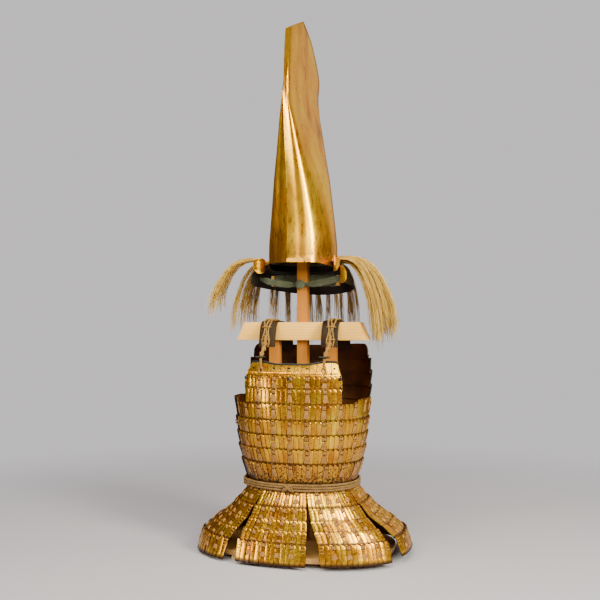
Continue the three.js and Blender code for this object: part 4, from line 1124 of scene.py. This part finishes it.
turn_angles, _ = even_angles(waist_section, -math.pi, math.pi, np.linspace(0, 1, 500))
rope_lines = []
for number, middle in enumerate(ROPE_MIDDLES):
    wander = []
    for a in turn_angles:
        out, rise = 0.3 * math.sin(5 * a + number), 0.5 * math.sin(3 * a + 2 * number)
        wander.append(waist_point(a, ROPE_RADIUS + out, middle + rise))
    rope_lines += twisted(wander, 3, 0.0016, 0.017)
rope = spun("waist_rope_laid", rope_lines, 0.0021, 6, rope_braid)
placed(rope, "tan_cord", "waist_rope")

KNOT_ANGLE = math.radians(-3)
KNOT_Z = 206


def knot_point(x, out, z):
    """A point in front of the knot's place on the rope."""
    spot = waist_point(KNOT_ANGLE, 0, z)
    return Vector((at_home((x, 0, 0)).x, spot.y - out / 1000, spot.z))


knot_lines = []
for drift, tall, wide in ((0, 8.0, 14.0), (0.6, 6.0, 11.0)):
    loop = []
    for k in range(33):
        t = math.tau * k / 32
        x = -8 + wide * math.sin(t) * (1 + 0.25 * math.cos(2 * t))
        z = KNOT_Z + tall * math.sin(2 * t + drift) * 0.9
        loop.append(knot_point(x, 10.5 + 2.5 * math.cos(2 * t), z))
    knot_lines.append(loop)
for x, tilt in ((-17, -0.35), (2, 0.3)):
    knot_lines.append([knot_point(x + tilt * k * 2, 12.5 - 0.4 * k, KNOT_Z - k * 1.2) for k in range(9)])
placed(spun("waist_knot_tied", knot_lines, 0.0031, 8, rope_braid), "tan_cord", "waist_knot")

# Shoulder straps: stout leather, dark inside and gilt-brown outside, from the back plate over the
# crossbar to the chest. Tan cords lie along them, and looped cords with black toggles join the chest plate.

strap_leather = lacquer("strap_leather", (0.010, 0.0035, 0.001), (0.045, 0.015, 0.003), rough=0.5)
strap_gilt = gilt("strap_gilt", 60, rough=0.36, ripple=0.55, fleck_scale=300, low_wear=(2.0, 2.1), bared=0.42)
strap_braid = braid_look("strap_braid", (0.44, 0.235, 0.055), (0.11, 0.045, 0.011), 0.0012)
STRAP_MIDDLE, STRAP_WIDE, STRAP_THICK = 94, 50, 4
CORD_MIDDLE = 98
STRAP_PATH = [
    (132.6, 588, 1),
    (129.6, 612, 1),
    (118, 635, 0.5),
    (92, 656, 0.1),
    (60, 669, 0),
    (32, 675.3, 0),
    (0, 675.3, 0),
    (-31, 675.3, 0),
    (-46, 664, 0),
    (-56, 643, 0),
    (-62, 621, 0),
    (-66, 600, 0),
]


def back_depth(x, z):
    """How far behind the middle the back of the cuirass lies."""
    half, _, back = section_at(BODY_SECTIONS, min(z, 620))
    return back * (1 - abs(x / half) ** 2.8) ** (1 / 2.8)


strap_run = smooth_run(STRAP_PATH, 5)


def strap_course(k):
    """The strap at one step along it: y, z, how closely it follows the back, and the way it runs."""
    y, z, follow = strap_run[k]
    before, after = strap_run[max(0, k - 1)], strap_run[min(len(strap_run) - 1, k + 1)]
    return y, z, follow, Vector((0, after[0] - before[0], after[1] - before[1])).normalized()


STRAP_PROFILE = [(-0.5, 0), (-0.5, 0.7), (-0.44, 1), (-0.2, 1.12)]
STRAP_PROFILE += [(-share, raised) for share, raised in reversed(STRAP_PROFILE)] + [(0.2, -0.1), (-0.2, -0.1)]
GILT_SIDES = (1, 5)
CORD_START = 22
CORD_WRAPS = (26, 33, 42, 50)
for word, side in (("right", -1), ("left", 1)):
    rings = []
    for k in range(len(strap_run)):
        y, z, follow, along = strap_course(k)
        ring = []
        for share, raised in STRAP_PROFILE:
            x = STRAP_MIDDLE + share * STRAP_WIDE
            bend = (back_depth(x, z) - back_depth(STRAP_MIDDLE, z)) * follow
            away = (raised - 0.5) * STRAP_THICK
            ring.append(at_home((side * x, y + bend + along.z * away, z - along.y * away)))
        rings.append(ring)
    points, faces = lofted(rings)
    looks = [0 if j in GILT_SIDES else 1 for _ in rings[1:] for j in range(len(STRAP_PROFILE))] + [1, 1]
    strap = solid_from(f"strap_{word}_leather", points, faces, [strap_gilt, strap_leather], looks, sharp=50)
    cord_lines = []
    for lane in (-8.5, -1, 7.5):
        line = []
        for k in range(CORD_START, len(strap_run)):
            y, z, _, along = strap_course(k)
            x = CORD_MIDDLE + lane + 2.5 * math.sin((k - CORD_START) * 0.45 + lane)
            line.append(at_home((side * x, y + along.z * 4.2, z - along.y * 4.2)))
        cord_lines += twisted(line, 2, 0.0011, 0.012)
    for k in CORD_WRAPS:
        y, z, _, along = strap_course(k)
        band = []
        for j in range(13):
            turn = math.pi * j / 12
            x, lift = CORD_MIDDLE - 13 * math.cos(turn), 4.4 + 2.6 * math.sin(turn)
            over = y + along.z * lift + 1.5 * math.sin(turn * 2)
            band.append(at_home((side * x, over, z - along.y * lift)))
        cord_lines.append(band)
    strap = joined(strap, spun(f"strap_{word}_cords", cord_lines, 0.0019, 6, strap_braid))
    placed(strap, "strap_leather", "strap_" + word)

LOOP_PATH = [
    (93, -126.5, 541),
    (93.5, -126, 557),
    (94.5, -119, 574),
    (95.5, -100, 589),
    (96.5, -79, 602),
    (97.5, -69.6, 618),
    (98, -65.6, 634),
]
EYE_X, EYE_Y, EYE_Z = LOOP_PATH[0]
for word, side in (("right", -1), ("left", 1)):
    path = [at_home((side * x, y, z)) for x, y, z in smooth_run(LOOP_PATH, 12)]
    lines = twisted(path, 3, 0.0024, 0.026)
    eye = []
    for k in range(25):
        t = math.tau * k / 24
        x, y, z = EYE_X + 5.5 * math.sin(t), EYE_Y - 0.5 * math.cos(t), EYE_Z - 6 + 8 * math.cos(t)
        eye.append(at_home((side * x, y, z)))
    lines += twisted(eye, 2, 0.0011, 0.011)
    for at in (30, 42, 54):
        wrap = []
        for k in range(40):
            t = math.tau * k / 13
            climb = (k / 40 - 0.5) * 0.006 + math.sin(t) * 0.003
            wrap.append(path[at] + Vector((math.cos(t) * 0.0052, math.sin(t) * 0.00112, climb)))
        lines.append(wrap)
    loops = spun(f"strap_cord_{word}_looped", lines, 0.0021, 6, strap_braid)
    placed(loops, "tan_cord", "strap_cord_" + word)

# Small fittings: iron studs in a row under the chest plate, and black lacquered toggles on it that hold the
# strap cords. The solids already have their shape, so they are kept and only get their finish.

iron_look = lacquer("blackened_iron", (0.012, 0.011, 0.012), (0.03, 0.028, 0.029), rough=0.4)
FITTINGS = {"stud_left": iron_look, "stud_middle": iron_look, "stud_right": iron_look}
FITTINGS |= {"toggle_left": black_lacquer, "toggle_right": black_lacquer}
for name, look in FITTINGS.items():
    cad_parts[name].data.materials.clear()
    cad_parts[name].data.materials.append(look)

# Helmet: an iron bowl built up in lacquered hide to a tall flattened cap, gilt all over. A sharp fold runs
# up the front; the shoulders turn softly and die out below the flat tail. It is black inside.

HELMET_WEAR = dict(low_wear=(0.84, 0.95), bared=0.09, streak=0.3)
gilt_helmet = gilt("gilt_helmet", 17, rough=0.275, ripple=0.045, fleck_scale=95, **HELMET_WEAR)
HELMET_TURN = Matrix.Rotation(math.radians(-9), 4, "Z")
BOWL_SECTIONS = [
    (845, 845, 121, 75, -85, 105, 0, 121),
    (858, 858, 118, 73, -83, 102, 0, 118),
    (903, 903, 117, 73, -82, 101, 0, 118),
    (952, 952, 115, 69, -83, 95, 2, 118),
    (1025, 1025, 118, 61, -88, 83, 10, 118),
    (1103, 1103, 125, 51, -95, 69, 20, 118),
    (1180, 1180, 133, 38, -101, 50, 36, 117),
    (1250, 1252, 139, 26, -108, 33, 50, 117),
    (1310, 1316, 142, 15, -113, 20, 52, 116),
    (1368, 1380, 141, 11, -106, 13, 40, 119),
    (1418, 1437, 139, 10, -98, 11, 28, 127),
    (1462, 1490, 136, 9, -92, 9, 5, 103),
    (1497, 1545, 132, 8, -92, 8, -18, 62),
    (1522, 1589, 128, 6, -95, 6, -45, 2),
]


def on_helmet(point):
    """A point in millimetres from the helmet's middle, as the helmet is turned on its block."""
    return at_home(HELMET_TURN @ Vector(point))


def bowl_ring(section, shrink, steps):
    """One closed ring of the bowl, from its front fold by the wearer's left to the back and round."""
    front_z, back_z, front, cheek_x, cheek_y, wide_x, wide_y, back = section
    knots = [
        (0, -front, 0),
        (cheek_x * 0.42, -front * 0.7 + cheek_y * 0.3, 0),
        (cheek_x, cheek_y, 0),
        (wide_x, wide_y, 0),
        (wide_x * 0.72, wide_y * 0.34 + back * 0.66, 0),
        (0, back, 0),
    ]
    half = smooth_run(knots, steps)
    loop = half + [Vector((-p.x, p.y, 0)) for p in reversed(half[1:-1])]
    ring = []
    for p in loop:
        keep = max(0.12, 1 - shrink / max(p.length, 1e-6))
        share = (p.y + front) / (front + back)
        drop = 14 * smooth(share, 0.1, 0.6) * max(0, 1 - (front_z - 845) / 13)
        z = front_z + (back_z - front_z) * share - drop
        ring.append(on_helmet((p.x * keep, p.y * keep, z)))
    return ring


def bowl_levels(rows, parts):
    """Sections in between, on smooth curves through the measured ones."""
    table = np.array(rows, dtype=float)
    found = []
    for i in range(len(table) - 1):
        low, high = table[i], table[i + 1]
        spans = table[max(i - 1, 0)], low, high, table[min(i + 2, len(table) - 1)]
        for k in range(parts):
            t = k / parts
            found.append(bowed(*spans, t) if i > 1 else low + (high - low) * t)
    return found + [table[-1]]


BOWL_WALL = 3
HOLLOW_TOP = 1252
levels = bowl_levels(BOWL_SECTIONS, 5)
outer = [bowl_ring(level, 0, 9) for level in levels]
inner = [bowl_ring(level, BOWL_WALL, 9) for level in levels if level[0] <= HOLLOW_TOP]
rings = list(reversed(inner)) + outer
size = len(outer[0])
points, faces = lofted(rings)
faces = faces[:-2]
looks = [1 if j < len(inner) - 1 else 0 for j in range(len(rings) - 1) for _ in range(size)]
for end, facing in ((0, 1), (len(rings) - 1, 0)):
    points.append(sum(rings[end], Vector()) / size)
    for i in range(size):
        faces.append((end * size + i, end * size + (i + 1) % size, len(points) - 1))
        looks.append(facing)
bowl = solid_from("helmet_bowl_gilt", points, faces, [gilt_helmet, black_lacquer], looks, sharp=26)
placed(bowl, "gilt_lacquer", "helmet_bowl", "helmet_crest")

# Neck guard: two wide lames in black lacquer that spread from the rim, and at their front ends small
# turned-back ears with a raised border, gilt all over but for the lower right one, which stays black.

NECK_OPEN = math.radians(78)
NECK_LAMES = [
    ("neck_lame_upper", (848, 103.7, 120, 4), (812, 128, 142, 22)),
    ("neck_lame_lower", (817, 129, 143, 22), (762, 152, 164, 22)),
]


def neck_point(edge, angle, out):
    """A point on an edge of the neck guard, whose front ends may rise."""
    z, half, depth, rise = edge
    sideways = 1 - abs(angle - math.pi) / math.pi
    height = z + rise * (1 - smooth(sideways, 0.4, 1))
    return Vector(((half + out) * math.sin(angle), -(depth + out) * math.cos(angle), height))


LAME_PROFILE = [(0, 0), (0, 2), (0.08, 2.5), (0.5, 2.0), (0.9, 2.1), (1, 2.7), (1, 0), (0.5, 0)]
LAME_STEPS = 96
for name, head, foot in NECK_LAMES:
    rings = []
    for k in range(LAME_STEPS + 1):
        angle = NECK_OPEN + (math.tau - 2 * NECK_OPEN) * k / LAME_STEPS
        ring = []
        for share, out in LAME_PROFILE:
            spot = neck_point(head, angle, out).lerp(neck_point(foot, angle, out), share)
            ring.append(on_helmet(spot))
        rings.append(ring)
    lame = solid_from(name + "_lacquered", *lofted(rings), [black_lacquer], sharp=40)
    placed(lame, "dark_lacquer", name)

EARS = [
    ("helmet_ear_upper_right", -1, 0, 46, 44, 105, 0),
    ("helmet_ear_upper_left", 1, 0, 46, 44, 105, 0),
    ("helmet_ear_lower_right", -1, 1, 40, 34, 40, 14),
    ("helmet_ear_lower_left", 1, 1, 50, 52, 95, 6),
]
across, rows = 24, 16
for ear_name, side, lame, height, width, curl, sag in EARS:
    head, foot = NECK_LAMES[lame][1:]
    middle = (neck_point(head, NECK_OPEN, 1) + neck_point(foot, NECK_OPEN, 1)) / 2
    away = Vector((math.sin(NECK_OPEN), -math.cos(NECK_OPEN), 0))
    ahead = Vector((-math.cos(NECK_OPEN), -math.sin(NECK_OPEN), 0))
    bend = width / math.radians(curl)
    points = []
    for layer in (1.1, -1.1):
        for i in range(across + 1):
            share = i / across
            turn = math.radians(curl) * share
            half = height / 2 * (1 - abs(share * 2 - 1) ** 3 * 0.62)
            for j in range(rows + 1):
                v = j / rows * 2 - 1
                border = 0.5 * (abs(v) > 0.8 or share > 0.88)
                carved = 0.35 * math.sin(v * 9) * math.sin(share * 14) * (abs(v) < 0.75 and lame)
                reach = bend + layer * (1 + border + carved)
                p = middle + away * (bend - reach * math.cos(turn)) + ahead * (reach * math.sin(turn) + 0.6)
                p.z += v * half - sag * share**2
                points.append(on_helmet((side * p.x, p.y, p.z)))
    face_look = gilt_ear if curl > 90 else black_lacquer
    ear = solid_from(ear_name + "_turned", points, thin_plate(across, rows), [face_look], sharp=50)
    placed(ear, "gilt_lacquer", ear_name)

# Lining and chin band: dark green hemp cloth. The lining hangs in soft pleats inside the bowl, and the
# band runs from side to side round the post, tied in a flat knot in front of it.

cloth_look, tree, shader = material("green_hemp", Roughness=0.92, Sheen_Weight=0.12, Sheen_Roughness=0.6)
place = add(tree, "ShaderNodeTexCoord").outputs["Object"]
threads = [
    add(tree, "ShaderNodeTexWave", {"Vector": place, "Scale": 320.0, "Distortion": 0.6}, bands_direction=way)
    for way in ("X", "Z")
]
weave = worked(tree, "MULTIPLY", threads[0].outputs["Fac"], threads[1].outputs["Fac"])
fade = add(tree, "ShaderNodeTexNoise", {"Vector": place, "Scale": 24.0, "Detail": 5.0})
worn = ramp(tree, fade.outputs[0], (0.3, (0.04, 0.047, 0.028)), (0.7, (0.12, 0.13, 0.085)))
lit = ramp(tree, weave, (0.0, (0.7, 0.7, 0.7)), (0.6, (1, 1, 1)))
tree.links.new(mixed(tree, 0.7, worn, lit, "MULTIPLY"), shader.inputs["Base Color"])
bumped(tree, shader, weave, 0.5, 0.0005)

LINING_ROWS = [(850, 1), (862, 1), (880, 0.985), (902, 0.94), (932, 0.8), (945, 0.6), (950, 0.4), (952, 0.04)]
CLEAR_OF_BOWL = 3.6
LINING_WALL = 2
middle = on_helmet((0, 0, 0))
layers = []
for wall in (0, LINING_WALL):
    loop = bowl_ring((900, 900, *BOWL_SECTIONS[1][2:]), CLEAR_OF_BOWL + wall, 12)
    layer = []
    for z, keep in LINING_ROWS:
        level = (z - wall * (keep < 0.9)) / 1000
        pleated = []
        for k, p in enumerate(loop):
            pleat = 1.1 * math.sin(k * 1.9) * (1 if 0.3 < keep < 0.99 else 0.2)
            flat = (p - middle) * (1 - pleat / 100)
            pleated.append(Vector((middle.x + flat.x * keep, middle.y + flat.y * keep, level)))
        layer.append(pleated)
    layers.append(layer)
lining_surface = lofted(layers[0][::-1] + layers[1])
lining = solid_from("helmet_lining_pleated", *lining_surface, [cloth_look], sharp=80)
GORES = ["helmet_lining_" + part for part in ("front_left", "front_right", "back_left", "back_right")]
placed(lining, "green_cloth", *GORES)

WRAP_LONG, WRAP_Y, WRAP_Z = 194, 26.1, 799.5
wrap_points, wrap_faces = [], []
turns, ring = 64, 20
for k in range(turns + 1):
    x = WRAP_LONG * (k / turns - 0.5)
    for i in range(2 * ring):
        under = 1.1 * (i >= ring)
        turn = math.tau * i / ring
        fold = 0.5 + 0.8 * math.sin(x * 0.23 + 2.2 * math.sin(turn)) * math.sin(x * 0.071 + turn) - under
        square = max(abs(math.cos(turn)), abs(math.sin(turn)))
        y = WRAP_Y + math.cos(turn) / square * (9.3 + fold)
        z = WRAP_Z + math.sin(turn) / square * (17.2 + fold)
        wrap_points.append(at_home((x, max(y, 16.2 + under), z)))
for k in range(turns):
    for i in range(ring):
        a, b = 2 * k * ring + i, 2 * k * ring + (i + 1) % ring
        wrap_faces.append((a, b, b + 2 * ring, a + 2 * ring))
        wrap_faces.append((a + ring, a + 3 * ring, b + 3 * ring, b + ring))
for end in (0, 2 * turns * ring):
    for i in range(ring):
        following = (i + 1) % ring
        wrap_faces.append((end + i, end + ring + i, end + ring + following, end + following))
wrap = solid_from("bar_wrap_folded", wrap_points, wrap_faces, [cloth_look], sharp=80)
placed(wrap, "green_cloth", "bar_wrap")

BAND_PROFILE = [(-1, 0), (-0.96, 1.2), (-0.5, 2.6), (0, 1.4), (0.5, 2.8), (0.96, 1.3), (1, 0)]
BAND_PROFILE += [(0.4, -0.2), (-0.4, -0.2)]
BAND_STEPS, BAND_REACH = 80, 138.6
rings = []
for k in range(BAND_STEPS + 1):
    share = k / BAND_STEPS * 2 - 1
    far = abs(share)
    y = -17.3 + (-14 + 17.3) * far - 9 * math.sin(far * math.pi) ** 2
    z = 786 + 20 * far**1.5 - 3.5 * math.sin(far * math.pi)
    half = 10 * (0.45 + 0.55 * smooth(far, 0.05, 0.35) - 0.5 * smooth(far, 0.8, 1))
    ring = []
    for v, out in BAND_PROFILE:
        fold = 0.8 * math.sin(far * 26 + v * 5) * smooth(far, 0.02, 0.2)
        ring.append(on_helmet((share * BAND_REACH, y - out - fold * (out > 0.5), z + v * half)))
    rings.append(ring)
band = solid_from("chin_band_folded", *lofted(rings), [cloth_look], sharp=80)
tie = bpy.data.meshes.new("chin_knot")
shape = bmesh.new()
bmesh.ops.create_icosphere(shape, subdivisions=4, radius=1)
for vert in shape.verts:
    x, y, z = vert.co
    crease = 0.13 * math.sin(5 * math.atan2(z, x) + 2 * y) + 0.08 * math.sin(9 * x)
    vert.co = on_helmet((x * (16 + 9 * crease), -25.1 + y * 4.5, 786 + z * (14 + 8 * crease)))
shape.to_mesh(tie)
shape.free()
tie.materials.append(cloth_look)
tie.shade_smooth()
knot = bpy.data.objects.new("chin_knot_tied", tie)
bpy.context.collection.objects.link(knot)
placed(knot, "green_cloth", "chin_knot")
placed(band, "green_cloth", "chin_band")

# Hair: pale yak hair bound into a narrow strip above the neck guard. It springs outward in locks, thick
# at the sides and thin behind, and falls past the guard to fine tips.

hair_look, tree, shader = material("pale_hair", Roughness=0.6, Specular_IOR_Level=0.25)
place = add(tree, "ShaderNodeTexCoord").outputs["Object"]
streak = add(tree, "ShaderNodeTexNoise", {"Vector": place, "Scale": 60.0, "Detail": 3.0})
own_tone = worked(tree, "MULTIPLY", attribute(tree, "tone"), 0.7)
strand_tone = worked(tree, "MULTIPLY_ADD", streak.outputs[0], 0.4, own_tone)
tones = (0.15, (0.22, 0.11, 0.022)), (0.5, (0.52, 0.30, 0.065)), (0.9, (0.84, 0.54, 0.14))
tint = ramp(tree, strand_tone, *tones)
tree.links.new(tint, shader.inputs["Base Color"])

LOCK_GROUPS = {
    "left": [
        (80, 100, 6, 160, 222, 20, 6, 0.12),
        (84, 112, 4, 126, 208, 10, 5, 0.06),
        (104, 124, 5, 124, 246, 14, 5, 0.12),
        (130, 174, 6, 62, 214, 6, 2.6, 0.2),
    ],
    "right": [
        (80, 90, 3, 188, 158, 22, 5, 0.06),
        (93, 112, 5, 132, 196, 14, 4.4, 0.1),
        (117, 174, 9, 66, 220, 6, 2.8, 0.2),
    ],
}


_, STRIP_HALF, STRIP_DEPTH, _ = NECK_LAMES[0][1]


def vary(seed):
    """A fixed number from -1 to 1 for each seed."""
    wave = math.sin(seed * 12.9898) * 43758.5453
    return (wave - math.floor(wave)) * 2 - 1


def strip_foot(angle):
    """The height of the hair's strip, just above the neck guard."""
    return neck_point(NECK_LAMES[0][1], angle, 0).z + 0.6


def guard_standing(angle, z):
    """How far outside the strip the neck guard stands at a height."""
    edges = [(neck_point(edge, angle, 0).z, edge[1]) for lame in NECK_LAMES for edge in lame[1:]]
    return float(np.interp(-z, [-e[0] for e in edges], [e[1] for e in edges])) - STRIP_HALF


def on_strip(side, angle, out, z):
    """A point beside the hair's strip, on one side of the helmet."""
    return Vector((side * (STRIP_HALF + out) * math.sin(angle), -(STRIP_DEPTH + out) * math.cos(angle), z))


def lock_line(side, group, index, steps):
    """The middle line of one lock. It springs out of the strip and falls clear of the neck guard."""
    start, end, count, away, drop, rise, thick, loose = group
    seed = index + start + side * 7
    angle = math.radians(start + (end - start) * index / (count - 1))
    away *= 1 + loose * vary(seed)
    drop *= 1 + 0.12 * vary(seed + 3)
    drift = math.radians(7) * vary(seed + 5)
    line = []
    for i in range(steps + 1):
        t = i / steps
        turned = angle + drift * t
        radius = thick * (0.55 + 1.1 * t) * (1 - t**3) + 0.6
        z = strip_foot(angle) + 3.5 + rise * math.sin(math.pi * min(1, t * 1.6)) - drop * t**1.75
        free = 1.5 + away * (1 - (1 - t) ** 2.1)
        held = guard_standing(turned, z - radius) + 4 + radius
        out = max(free, held) if i else 1.5
        line.append(on_strip(side, turned, out, z))
    return line


chance = random.Random(11)
LOCK_STEPS = 10
STRIP_START, STRIP_END, STRIP_STEPS = 79.5, 178, 48
STRIP_PROFILE = ((0, 0), (0, 3), (3.5, 3.6), (7, 3), (7, 0))
for word, side in (("left", 1), ("right", -1)):
    lines, girths, tones = [], [], []
    for group in LOCK_GROUPS[word]:
        thick = group[6]
        for index in range(group[2]):
            guide = lock_line(side, group, index, LOCK_STEPS)
            for _ in range(int(15 * thick)):
                turn, reach = chance.random() * math.tau, math.sqrt(chance.random())
                shortened = chance.uniform(0.72, 1.0)
                stray = Vector((chance.gauss(0, 1), chance.gauss(0, 1), chance.gauss(0, 0.6)))
                line = []
                for i, spot in enumerate(guide):
                    t = i / LOCK_STEPS
                    spread = thick * (0.7 + 2.4 * t) * (1 - 0.6 * t**2.5) * reach
                    offset = Vector((math.cos(turn), math.sin(turn) * 0.7, math.sin(turn))) * spread
                    line.append(spot + offset + stray * (7.0 * t * t))
                run = []
                for k in range(LOCK_STEPS + 1):
                    i = min(LOCK_STEPS - 1, int(k * shortened))
                    run.append(on_helmet(line[i].lerp(line[i + 1], k * shortened % 1)))
                lines.append(run)
                girths.append([1.0 - 0.85 * (k / LOCK_STEPS) ** 2 for k in range(LOCK_STEPS + 1)])
                tones.append(chance.random())
    hair = spun(f"hair_{word}_combed", lines, 0.00042, 3, hair_look, girths, tones)
    rings = []
    for k in range(STRIP_STEPS + 1):
        angle = math.radians(STRIP_START + (STRIP_END - STRIP_START) * k / STRIP_STEPS)
        foot = strip_foot(angle)
        rings.append([on_helmet(on_strip(side, angle, out, foot + above)) for above, out in STRIP_PROFILE])
    strip = solid_from(f"hair_{word}_binding", *lofted(rings), [hair_look], sharp=50)
    placed(joined(hair, strip), "hair", "hair_" + word)

# Side tie: two strands of a thin tan two-ply cord that close the cuirass under the wearer's right arm.
# They are drawn across the lapped ends of a long row and lie on it.

TIE_Z = 372
tie_lines = []
for lift, start, end in ((0, -60, -104), (7, -63, -101)):
    path = []
    for k in range(60):
        angle = math.radians(start + (end - start) * k / 59)
        z = TIE_Z + lift + 1.5 * math.sin(k / 9)
        section = section_at(BODY_SECTIONS, z)
        path.append(at_home(oval_point(section, angle, 7.4 + opening_lap(angle) + 1.2, z)))
    tie_lines += twisted(path, 2, 0.0009, 0.010)
placed(spun("side_tie", tie_lines, 0.0013, 6, rope_braid), "tan_cord")
